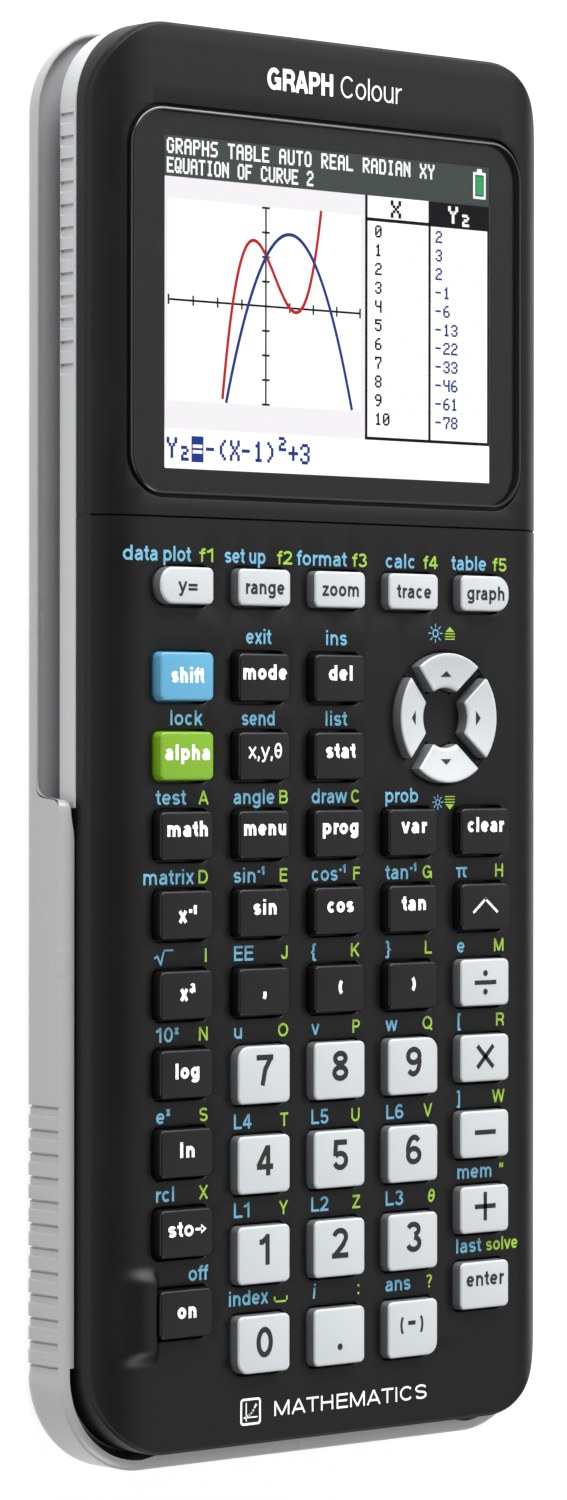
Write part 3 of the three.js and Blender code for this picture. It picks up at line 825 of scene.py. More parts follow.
def screw_head(name, x, y, z, r, body):
    """A pan head seen from below, with a cross recess."""
    b = Build()
    n = 48
    arm, half = r * 0.62, r * 0.17

    def cross(s, z_):
        a, h = arm * s, half * s
        pts = [(a, -h), (a, h), (h, h), (h, a), (-h, a), (-h, h), (-a, h), (-a, -h), (-h, -h), (-h, -a), (h, -a), (h, -h)]
        return [(x + px, y + py, z_) for px, py in pts]

    rings3 = [at(circle(x, y, rr_, n), z_) for rr_, z_ in ((r * 0.5, z + 0.9), (r, z + 0.9), (r, z + 0.3), (r * 0.96, z + 0.16), (r * 0.86, z + 0.05), (r * 0.72, z))]
    b.rings(down(rings3[1:]))
    b.cap(rings3[1])
    fill(b, [(p[0], p[1]) for p in rings3[-1]], [[(p[0], p[1]) for p in cross(1.0, z)]], z, flip=True)
    b.rings(down([cross(1.0, z), cross(0.72, z + 0.55)]))
    b.cap(cross(0.72, z + 0.55), flip=True)
    ob = b.object(name, [MAT["steel"]], sharp=35)
    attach(ob, body)
    return ob


def make_door():
    lo, hi = box_mm("battery_door")
    b = Build()

    def ring(inset, z):
        return at(rr(-29.0 + inset, 29.0 - inset, 34.0 + inset, 78.0 - inset, 2.0 - min(inset, 1.0), 8), z)

    well = circle(0.0, 38.0, 2.1, 32)
    tight = circle(0.0, 38.0, 1.8, 32)
    bottom = [ring(1.2, 4.5), ring(0.0, 4.5), ring(0.0, 3.55), ring(0.08, 3.4), ring(0.25, 3.32), ring(0.45, 3.3)]
    b.rings(down(bottom[1:]))
    b.cap(bottom[1])
    # finger arrow pressed into the door, and the well for its screw
    arrow = [(-3.4, 50.2), (0.0, 47.0), (3.4, 50.2), (2.5, 50.2), (0.0, 47.9), (-2.5, 50.2)]
    bars = [rr(-14.0, 14.0, yy, yy + 1.1, 0.5, 4) for yy in (55.0, 58.0, 61.0, 64.0, 67.0)]
    fill(b, [(p[0], p[1]) for p in bottom[-1]], [well, arrow] + bars, 3.3, flip=True)
    b.rings(down([at(well, 3.3), at(tight, 3.42), at(tight, 4.1)]))
    b.cap(at(tight, 4.1), flip=True)
    for s in [arrow] + bars:
        b.rings(down([at(s, 3.3), at(s, 3.5)]))
        b.face(list(reversed(at(s, 3.5))))
    ob = b.object("battery_door_panel", [MAT["grey"]], sharp=28)
    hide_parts("battery_door")
    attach(ob, BODY_OF["battery_door"])
    screw_head("battery_door_screw", 0.0, 38.0, 3.5, 1.6, BODY_OF["battery_door"])


# ------------------------------------------------------------------ slide cover
COV_W, COV_T, COV_B, COV_R, COV_RT = 41.5, 92.4, -93.0, 13.2, 11.3
STEP = [(-3.9, 3.0), (-4.4, 3.01), (-5.0, 3.07), (-5.5, 3.22), (-5.9, 3.5), (-6.15, 3.85), (-6.3, 4.3), (-6.4, 5.0), (-6.5, 6.0),
        (-6.6, 6.7), (-6.8, 7.12), (-7.1, 7.4), (-7.5, 7.56), (-8.0, 7.63), (-8.6, 7.64)]


def cover_top(y):
    """Height of the cover's side before its rolled rim."""
    if y >= STEP[0][0]:
        return 3.0
    if y <= STEP[-1][0]:
        return 7.64
    for (ya, za), (yb, zb) in zip(STEP, STEP[1:]):
        if yb <= y <= ya:
            return za + (zb - za) * (ya - y) / (ya - yb)
    return 7.64


LOW = [(0.0, 7.78), (0.07, 7.80), (0.16, 7.90), (0.34, 8.02), (0.6, 8.13), (0.95, 8.22), (1.35, 8.28), (1.75, 8.30), (2.02, 8.29), (2.10, 8.22), (2.10, 8.05),
       (1.95, 6.35), (2.95, 6.35), (2.95, 5.45), (1.95, 5.45), (1.95, 1.75), (2.05, 1.5), (2.3, 1.4)]
UPP = [(0.0, 2.86), (0.01, 2.92), (0.04, 2.965), (0.1, 2.99), (0.2, 3.0), (0.32, 2.99), (0.42, 2.94), (0.52, 2.82), (0.6, 2.66), (0.68, 2.48), (0.76, 2.3),
       (0.86, 2.1), (0.95, 1.95), (1.06, 1.82), (1.2, 1.7), (1.42, 1.56), (1.75, 1.45), (2.3, 1.4)]
LEAD = [(0.0, 0.0)] * len(LOW)


def make_cover():
    ys = [y for y, _ in STEP] + [-4.7, -5.25, -5.7, -6.03, -6.22, -6.35, -6.45, -6.55, -6.7, -6.95, -7.3, -7.75]
    ys += [-8.7, -8.71, -9.6, -10.6, -11.6, -12.6, -78.0, -78.01, -78.6, -78.9, -78.91, 70.0, 60.0, 40.0, 20.0, 5.0, -25.0, -35.0]
    ys += groove_ys(*GROOVE_B, half=0.7)
    path = side_path(COV_W, COV_T, COV_B, COV_R, sorted(set(ys)), seg=22, top_corner=COV_RT)

    def point(k, x, y, nx, ny):
        T = cover_top(y)
        t = (T - 3.0) / 4.64
        inl, zl = LOW[k]
        inu, zu = UPP[k]
        if zl <= 6.36 and inl > 2.9 and not (-78.005 < y < -8.705 and abs(nx) > 0.999):
            inl = 1.95
        # the inner lip is cut back round the two bottom corners
        if y < -78.905 and abs(x) > 27.5 and 7 <= k <= 15:
            inl = min(inl, 1.36)
        # short lead-in below the step, where the lip has a taper
        if t > 0.6 and y > -11.6 and k in (6, 7, 8, 9, 10):
            f = smooth((y + 11.6) / 3.6)
            inl = inl - (inl - 1.2) * f * 0.62
        ins = inu + (inl - inu) * t
        z = zu + (zl - zu) * t
        # the top end is lower between its corners
        if y > 70.0 and abs(x) < 40.0:
            f = smooth((37.0 - abs(x)) / 3.0) * (1.0 if y > 80 else 0.0)
            z = z - f * max(z - 1.4, 0.0) * 0.42
        return ins, z

    def plane_ring(inset, z, groove=0.0):
        out = []
        for x, y, nx, ny in path:
            px, py = x - nx * inset, y - ny * inset
            if groove and abs(nx) > 0.999:
                px -= nx * groove * groove_depth(y, *GROOVE_B, half=0.7)
            T = cover_top(y) if not callable(z) else 0
            zz = z(x, y) if callable(z) else z
            out.append((px, py, zz))
        return out

    def side_z(frac_low, frac_high):
        """Height on the outer side: frac_low of the way up where the side is low, frac_high in mm where it is tall."""
        def f(x, y):
            p = point(0, x, y, 0, 0)[1]
            t = (cover_top(y) - 3.0) / 4.64
            low = 2.2 + (p - 2.2) * frac_low
            return low + (frac_high - low) * t if t < 1 else frac_high
        return f

    rings3 = []
    for k in range(0, 7):
        a = math.radians(15.0 * k)
        rings3.append(plane_ring(2.2 * (1 - math.sin(a)), lambda x, y, a=a: min(2.2 * (1 - math.cos(a)), point(0, x, y, 0, 0)[1] - 0.02 * (7 - k)),
                                 groove=(0.0, 0.3, 0.7, 1.0, 1.0, 1.0, 1.0)[k]))
    rings3.append(plane_ring(0.0, side_z(0.1, 2.35), groove=1.0))
    rings3.append(plane_ring(0.0, side_z(0.2, 2.5), groove=1.0))
    rings3.append(plane_ring(0.0, side_z(0.6, 5.0), groove=1.0))
    rings3.append(plane_ring(0.0, side_z(0.8, 7.5), groove=1.0))
    rings3.append(plane_ring(0.0, side_z(0.9, 7.62)))
    for k in range(len(LOW)):
        ring = []
        for x, y, nx, ny in path:
            ins, z = point(k, x, y, nx, ny)
            ring.append((x - nx * ins, y - ny * ins, z))
        rings3.append(ring)
    b = Build()
    b.rings(rings3)
    fill(b, [(p[0], p[1]) for p in rings3[0]], [], 0.0, flip=True)
    # floor of the tray
    fill(b, [(p[0], p[1]) for p in rings3[-1]], [], 1.4)
    ob = b.object("slide_cover_shell", [MAT["cover"]], sharp=22)
    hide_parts("slide_cover")
    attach(ob, BODY_OF["slide_cover"])
    return ob


# ------------------------------------------------------------------ port
def make_port():
    """Small steel shell with a tongue inside, open to the side of the body."""
    lo, hi = box_mm("usb_port")
    x0, x1, y0, y1, z0, z1 = lo[0], hi[0], lo[1], hi[1], lo[2], hi[2]
    b = Build()

    def ring(x, add, chamfer=0.9):
        yy0, yy1, zz0, zz1 = y0 + add, y1 - add, z0 + add, z1 - add
        c = max(chamfer - add, 0.2)
        pts = [(yy0 + c, zz0), (yy1 - c, zz0), (yy1, zz0 + c), (yy1, zz1 - 0.25), (yy1 - 0.25, zz1), (yy0 + 0.25, zz1), (yy0, zz1 - 0.25), (yy0, zz0 + c)]
        return [(x, p, q) for p, q in pts]

    b.rings([ring(x0, 0.0), ring(x1 - 0.05, 0.0), ring(x1, 0.06), ring(x1 - 0.02, 0.3), ring(x0 + 0.4, 0.3)])
    b.cap(ring(x0, 0.0), flip=True)
    b.cap(ring(x0 + 0.4, 0.3))
    ob = b.object("usb_port_shell", [MAT["steel"]], sharp=25)
    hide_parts("usb_port")
    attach(ob, BODY_OF["usb_port"])
    t = Build()
    ty0, ty1, tz0, tz1 = y0 + 1.3, y1 - 1.3, (z0 + z1) / 2 + 0.1, (z0 + z1) / 2 + 0.7
    ra = [(x0 + 0.4, p, q) for p, q in rr(ty0, ty1, tz0, tz1, 0.1, 2)]
    rb = [(x1 - 1.0, p, q) for p, q in rr(ty0, ty1, tz0, tz1, 0.1, 2)]
    t.rings([ra, rb])
    t.cap(ra, flip=True)
    t.cap(rb)
    o = t.object("usb_port_tongue", [MAT["keyblack"]], sharp=25)
    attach(o, BODY_OF["usb_port"])
    for i in range(5):
        c = Build()
        yy = ty0 + 0.45 + i * (ty1 - ty0 - 0.9) / 4
        ra = [(x0 + 1.0, p, q) for p, q in rr(yy - 0.16, yy + 0.16, tz0 - 0.05, tz0 + 0.1, 0.03, 1)]
        rb = [(x1 - 1.3, p, q) for p, q in rr(yy - 0.16, yy + 0.16, tz0 - 0.05, tz0 + 0.1, 0.03, 1)]
        c.rings([ra, rb])
        c.cap(ra, flip=True)
        c.cap(rb)
        o = c.object("usb_port_contact_%d" % (i + 1), [MAT["brass"]], sharp=25)
        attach(o, BODY_OF["usb_port"])


MAT["rubber"] = plastic("dark_rubber", "232323", 0.75, grain=0.0002, bump=0.25, rvar=0.05, cvar=0.08)
MAT["steel"] = plastic("brushed_steel", "b8b8ba", 0.32, grain=0.0002, bump=0.08, rvar=0.08, cvar=0.05)
MAT["steel"].node_tree.nodes["Principled BSDF"].inputs["Metallic"].default_value = 1.0
MAT["brass"] = plastic("contact_gold", "c9a24a", 0.3, grain=0.0002, bump=0.05, rvar=0.05, cvar=0.04)
MAT["brass"].node_tree.nodes["Principled BSDF"].inputs["Metallic"].default_value = 1.0

make_rear_housing()
make_door()
make_cover()
make_port()


# ------------------------------------------------------------------ display
LCD_X0, LCD_Y1, LCD_Z = -28.45, 78.6, 12.86
GLYPH = {
    "A": "01110 10001 10001 11111 10001 10001 10001", "B": "11110 10001 10001 11110 10001 10001 11110",
    "C": "01110 10001 10000 10000 10000 10001 01110", "D": "11110 10001 10001 10001 10001 10001 11110",
    "E": "11111 10000 10000 11110 10000 10000 11111", "F": "11111 10000 10000 11110 10000 10000 10000",
    "G": "01110 10001 10000 10011 10001 10001 01110", "H": "10001 10001 10001 11111 10001 10001 10001",
    "I": "01110 00100 00100 00100 00100 00100 01110", "L": "10000 10000 10000 10000 10000 10000 11111",
    "N": "10001 11001 10101 10101 10011 10001 10001", "O": "01110 10001 10001 10001 10001 10001 01110",
    "P": "11110 10001 10001 11110 10000 10000 10000", "Q": "01110 10001 10001 10001 10101 10010 01101",
    "R": "11110 10001 10001 11110 10100 10010 10001", "S": "01111 10000 10000 01110 00001 00001 11110",
    "T": "11111 00100 00100 00100 00100 00100 00100", "U": "10001 10001 10001 10001 10001 10001 01110",
    "V": "10001 10001 10001 10001 10001 01010 00100", "X": "10001 10001 01010 00100 01010 10001 10001",
    "Y": "10001 10001 01010 00100 00100 00100 00100", " ": "00000 00000 00000 00000 00000 00000 00000",
    "0": "01110 10001 10011 10101 11001 10001 01110", "1": "00100 01100 00100 00100 00100 00100 01110",
    "2": "01110 10001 00001 00110 01000 10000 11111", "3": "01110 10001 00001 00110 00001 10001 01110",
    "4": "10001 10001 10001 01111 00001 00001 00001", "5": "11111 10000 11110 00001 00001 10001 01110",
    "6": "00110 01000 10000 11110 10001 10001 01110", "7": "11111 10001 00001 00010 00100 00100 00100",
    "8": "01110 10001 10001 01110 10001 10001 01110", "9": "01110 10001 10001 01111 00001 00010 01100",
    "-": "00000 00000 00000 11110 00000 00000 00000", "+": "00000 00100 00100 11111 00100 00100 00000",
    "=": "00000 00000 11111 00000 11111 00000 00000", "(": "00010 00100 01000 01000 01000 00100 00010",
    ")": "01000 00100 00010 00010 00010 00100 01000", "s": "00000 00000 01110 00001 00110 01000 01111",
    "q": "01110 00001 00110 01000 01111 00000 00000", "n": "00000 00000 01110 00000 00000 00000 00000",
}


class Picture:
    """Flat marks on the display, one thin closed slab each, in display millimetres from its top left corner."""

    def __init__(self):
        self.parts = {}

    def slab(self, colour, u0, u1, v0, v1, level):
        b = self.parts.setdefault(colour, Build())
        z1 = LCD_Z + 0.006 * level
        z0 = z1 - 0.012
        x0, x1, y0, y1 = LCD_X0 + u0, LCD_X0 + u1, LCD_Y1 - v1, LCD_Y1 - v0
        base = len(b.verts)
        for z in (z0, z1):
            for x, y in ((x0, y0), (x1, y0), (x1, y1), (x0, y1)):
                b.verts.append((x * MM, y * MM, z * MM))
        for f in ((3, 2, 1, 0), (4, 5, 6, 7), (0, 1, 5, 4), (1, 2, 6, 5), (2, 3, 7, 6), (3, 0, 4, 7)):
            b.faces.append([base + i for i in f])
            b.mats.append(0)

    def text(self, colour, s, u, v, pitch, height, level, fill_w=0.82, heavy=0.45):
        pw, ph = pitch * fill_w / (5.0 + heavy), height / (7.0 + heavy * 0.4)
        for n, ch in enumerate(s):
            rows = GLYPH[ch].split()
            for j, row in enumerate(rows):
                i = 0
                while i < 5:
                    if row[i] == "1":
                        k = i
                        while k < 5 and row[k] == "1":
                            k += 1
                        self.slab(colour, u + n * pitch + i * pw, u + n * pitch + (k + heavy) * pw, v + j * ph, v + (j + 1 + heavy * 0.4) * ph, level)
                        i = k
                    else:
                        i += 1

    def ribbon(self, colour, pts, width, level, step=0.0):
        """A line drawn as short closed slabs along pts."""
        b = self.parts.setdefault(colour, Build())
        z1 = LCD_Z + 0.006 * level
        z0 = z1 - 0.012
        left, right = [], []
        for i, p in enumerate(pts):
            q = pts[min(i + 1, len(pts) - 1)]
            o = pts[max(i - 1, 0)]
            dx, dy = q[0] - o[0], q[1] - o[1]
            d = math.hypot(dx, dy)
            nx, ny = -dy / d * width / 2, dx / d * width / 2
            left.append((LCD_X0 + p[0] + nx, LCD_Y1 - (p[1] + ny)))
            right.append((LCD_X0 + p[0] - nx, LCD_Y1 - (p[1] - ny)))
        base = len(b.verts)
        for a, c in zip(left, right):
            for x, y, z in ((a[0], a[1], z0), (c[0], c[1], z0), (c[0], c[1], z1), (a[0], a[1], z1)):
                b.verts.append((x * MM, y * MM, z * MM))
        n = len(pts)
        for i in range(n - 1):
            p, q = base + 4 * i, base + 4 * (i + 1)
            for k in range(4):
                b.faces.append([p + k, p + (k + 1) % 4, q + (k + 1) % 4, q + k])
                b.mats.append(0)
        b.faces.append([base, base + 3, base + 2, base + 1])
        b.mats.append(0)
        b.faces.append([base + 4 * (n - 1) + k for k in (0, 1, 2, 3)])
        b.mats.append(0)


SCREEN = {
    "white": "ffffff", "bar": "3f4743", "lilac": "e6e3e7", "black": "0c0c10", "blue": "183480", "red": "b8161c", "hair": "dcdcde",
    "green": "2f9e57", "dim": "5b625e",
}


def make_display():
    pic = Picture()
    W, H = 56.9, 42.7
    pic.slab("white", 0.0, W, 0.0, H, 0)
    pic.slab("bar", 0.0, W, 0.0, 5.3, 1)
    pic.text("white_ink", "GRAPHS TABLE AUTO REAL RADIAN XY", 0.35, 0.35, 1.46, 2.0, 3)
    pic.text("white_ink", "EQUATION OF CURVE 2", 0.35, 2.85, 1.32, 2.0, 3, fill_w=0.86)
    # battery gauge
    pic.slab("white_ink", 53.9, 56.2, 0.75, 4.35, 2)
    pic.slab("white_ink", 54.6, 55.5, 0.3, 0.75, 2)
    pic.slab("bar", 54.25, 55.85, 1.1, 4.0, 3)
    pic.slab("green", 54.45, 55.65, 1.3, 3.8, 4)
    # graph field
    pic.slab("lilac", 0.0, 34.4, 5.3, 8.1, 1)
    pic.slab("lilac", 0.0, 34.4, 34.0, 37.6, 1)
    pic.slab("lilac", 0.0, 0.55, 8.1, 34.0, 1)
    pic.slab("lilac", 33.6, 34.4, 8.1, 34.0, 1)
    pic.slab("black", 0.7, 33.5, 20.92, 21.2, 2)
    pic.slab("black", 16.92, 17.2, 8.3, 33.9, 2)
    for k in range(-4, 5):
        if k:
            u = 17.06 + 4.1 * k
            pic.slab("black", u - 0.14, u + 0.14, 20.4, 21.72, 3)
            v = 21.06 + 3.2 * k
            pic.slab("black", 16.4, 17.72, v - 0.14, v + 0.14, 3)

    def curve(f, x0, x1, n=90):
        pts = []
        for i in range(n + 1):
            x = x0 + (x1 - x0) * i / n
            pts.append((17.06 + 4.1 * x, 21.06 - 3.2 * f(x)))
        return pts

    pic.ribbon("red", curve(lambda x: (x - 1.0) * (x - 1.5) * (x + 1.38), -1.8, 2.33), 0.46, 4)
    pic.ribbon("blue", curve(lambda x: 3.0 - (x - 1.0) ** 2, -1.65, 3.65), 0.46, 5)
    # table
    pic.slab("black", 34.35, 34.8, 5.3, 37.7, 2)
    pic.slab("black", 45.72, 46.15, 5.3, 37.7, 2)
    pic.slab("black", 56.5, 56.88, 5.3, 37.7, 2)
    pic.slab("black", 34.35, 56.88, 37.28, 37.7, 2)
    pic.slab("black", 34.35, 56.88, 8.2, 8.65, 2)
    pic.slab("black", 46.1, 56.6, 5.3, 8.3, 3)
    pic.text("black", "X", 38.9, 5.65, 2.1, 2.35, 4, fill_w=0.9)
    pic.text("white_ink", "Y", 49.3, 5.7, 2.0, 2.3, 5, fill_w=0.9)
    pic.text("white_ink", "s", 51.6, 6.0, 1.7, 2.3, 5, fill_w=0.9)
    ys = ["2", "3", "2", "-1", "-6", "-13", "-22", "-33", "-46", "-61", "-78"]
    for i in range(11):
        v = 10.0 + 2.49 * i
        pic.text("black", str(i), 36.1 if i < 10 else 36.1, v - 0.85, 1.42, 1.65, 3, fill_w=0.86)
        pic.text("blue", ys[i], 47.0, v - 0.85, 1.42, 1.65, 3, fill_w=0.86)
        if i < 10:
            pic.slab("hair", 34.8, 45.8, v + 1.17, v + 1.27, 1)
            pic.slab("hair", 46.1, 56.45, v + 1.17, v + 1.27, 1)
    # equation line
    pic.text("blue", "Y", 0.35, 38.7, 2.1, 2.7, 3, fill_w=0.84)
    pic.text("blue", "s", 2.45, 39.0, 1.9, 2.7, 3, fill_w=0.84)
    pic.slab("blue", 4.5, 6.5, 38.45, 41.8, 2)
    pic.text("white_ink", "=", 4.7, 38.8, 1.9, 2.6, 3, fill_w=0.84)
    pic.text("blue", "-(X-1)", 6.9, 38.7, 2.02, 2.7, 3, fill_w=0.84)
    pic.text("blue", "q", 19.0, 37.95, 1.9, 2.6, 3, fill_w=0.84)
    pic.text("blue", "+3", 20.95, 38.7, 2.02, 2.7, 3, fill_w=0.84)
    for colour, b in pic.parts.items():
        hexcol = SCREEN.get(colour, "fafcfb")
        m = screen("display_" + colour, hexcol, 1.27)
        ob = b.object("display_picture_" + colour, [m], sharp=20, fix_normals=False)
        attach(ob, ROOT)


def screen(name, hexcol, strength):
    """A lit element of the display: it gives off its own colour and reflects almost nothing."""
    m, nt, b = principled(name, tuple(c * 0.05 for c in srgb(hexcol)), 0.35, spec=0.05)
    tc = nt.nodes.new("ShaderNodeTexCoord")
    fine = nt.nodes.new("ShaderNodeTexWave")
    fine.inputs["Scale"].default_value = 900.0
    fine.inputs["Distortion"].default_value = 0.0
    nt.links.new(tc.outputs["Object"], fine.inputs["Vector"])
    mix = nt.nodes.new("ShaderNodeMix")
    mix.data_type = "RGBA"
    c = srgb(hexcol)
    mix.inputs["A"].default_value = (*[v * 0.985 for v in c], 1)
    mix.inputs["B"].default_value = (*c, 1)
    nt.links.new(fine.outputs["Fac"], mix.inputs["Factor"])
    nt.links.new(mix.outputs["Result"], b.inputs["Emission Color"])
    b.inputs["Emission Strength"].default_value = strength
    return m


def make_window():
    lo, hi = box_mm("display_window")

    def ring(inset, z):
        return at(rr(lo[0] + inset, hi[0] - inset, lo[1] + inset, hi[1] - inset, 5.3 - inset, 16), z)

    # lens plate: clear top and bottom, its sanded edge is darker
    b = Build()
    edge = [ring(0.25, 12.95), ring(0.0, 12.98), ring(0.0, 13.42), ring(0.06, 13.53), ring(0.16, 13.61), ring(0.30, 13.645), ring(0.42, 13.65)]
    b.rings(edge, mat=1)
    b.cap(edge[-1], mat=0)
    b.cap(edge[0], flip=True, mat=0)
    glass, nt, g = principled("clear_lens", (0.01, 0.01, 0.012), 0.06, spec=0.5)
    g.inputs["Alpha"].default_value = 0.07
    smudge = nt.nodes.new("ShaderNodeTexNoise")
    smudge.inputs["Scale"].default_value = 45.0
    smudge.inputs["Detail"].default_value = 5.0
    tc = nt.nodes.new("ShaderNodeTexCoord")
    nt.links.new(tc.outputs["Object"], smudge.inputs["Vector"])
    mr = nt.nodes.new("ShaderNodeMapRange")
    mr.inputs["To Min"].default_value = 0.04
    mr.inputs["To Max"].default_value = 0.12
    nt.links.new(smudge.outputs["Fac"], mr.inputs["Value"])
    nt.links.new(mr.outputs["Result"], g.inputs["Roughness"])
    ob = b.object("display_lens", [glass, MAT["lens_edge"]], sharp=35)
    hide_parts("display_window")
    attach(ob, BODY_OF["display_window"])
    # printed black border on the underside of the lens
    m = Build()
    outer = [(p[0], p[1]) for p in ring(0.28, 0)]
    inner = rr(LCD_X0 - 0.05, LCD_X0 + 56.95, LCD_Y1 - 42.75, LCD_Y1 + 0.05, 0.25, 3)
    fill(m, outer, [inner], 12.935)
    fill(m, outer, [inner], 12.915, flip=True)
    m.strip(at(outer, 12.915), at(outer, 12.935))
    m.rings(down([at(inner, 12.915), at(inner, 12.935)]))
    ob = m.object("display_border", [MAT["mask"]], sharp=30)
    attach(ob, BODY_OF["display_window"])
    # the panel itself behind the picture
    p = Build()
    base = [at(rr(-29.9, 29.9, 57.25 - 22.9, 57.25 + 22.9, 0.4, 3), z) for z in (11.3, 12.838)]
    p.rings(base)
    p.cap(base[0], flip=True)
    p.cap(base[1])
    frame_ = [at(rr(-31.8, 31.8, 57.25 - 24.6, 57.25 + 24.6, 0.8, 4), z) for z in (9.3, 11.3)]
    q = p
    q.rings(frame_)
    q.cap(frame_[0], flip=True)
    q.cap(frame_[1])
    ob = q.object("display_panel_block", [MAT["mask"]], sharp=30)
    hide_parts("lcd_module")
    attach(ob, BODY_OF["lcd_module"])


MAT["lens_edge"] = plastic("lens_edge", "161617", 0.18, grain=0.0002, bump=0.05, rvar=0.03, cvar=0.04, spec=0.6)
MAT["mask"] = plastic("lens_border_print", "080809", 0.22, grain=0.0002, bump=0.03, rvar=0.03, cvar=0.03, spec=0.4)

make_display()
make_window()


# ------------------------------------------------------------------ a plain stroke lettering
def arc(cx, cy, rx, ry, a0, a1, n=None):
    n = n or max(int(abs(a1 - a0) / 22.0), 2)
    return [(cx + rx * math.cos(math.radians(a0 + (a1 - a0) * k / n)), cy + ry * math.sin(math.radians(a0 + (a1 - a0) * k / n))) for k in range(n + 1)]


XH, DESC = 0.74, -0.27


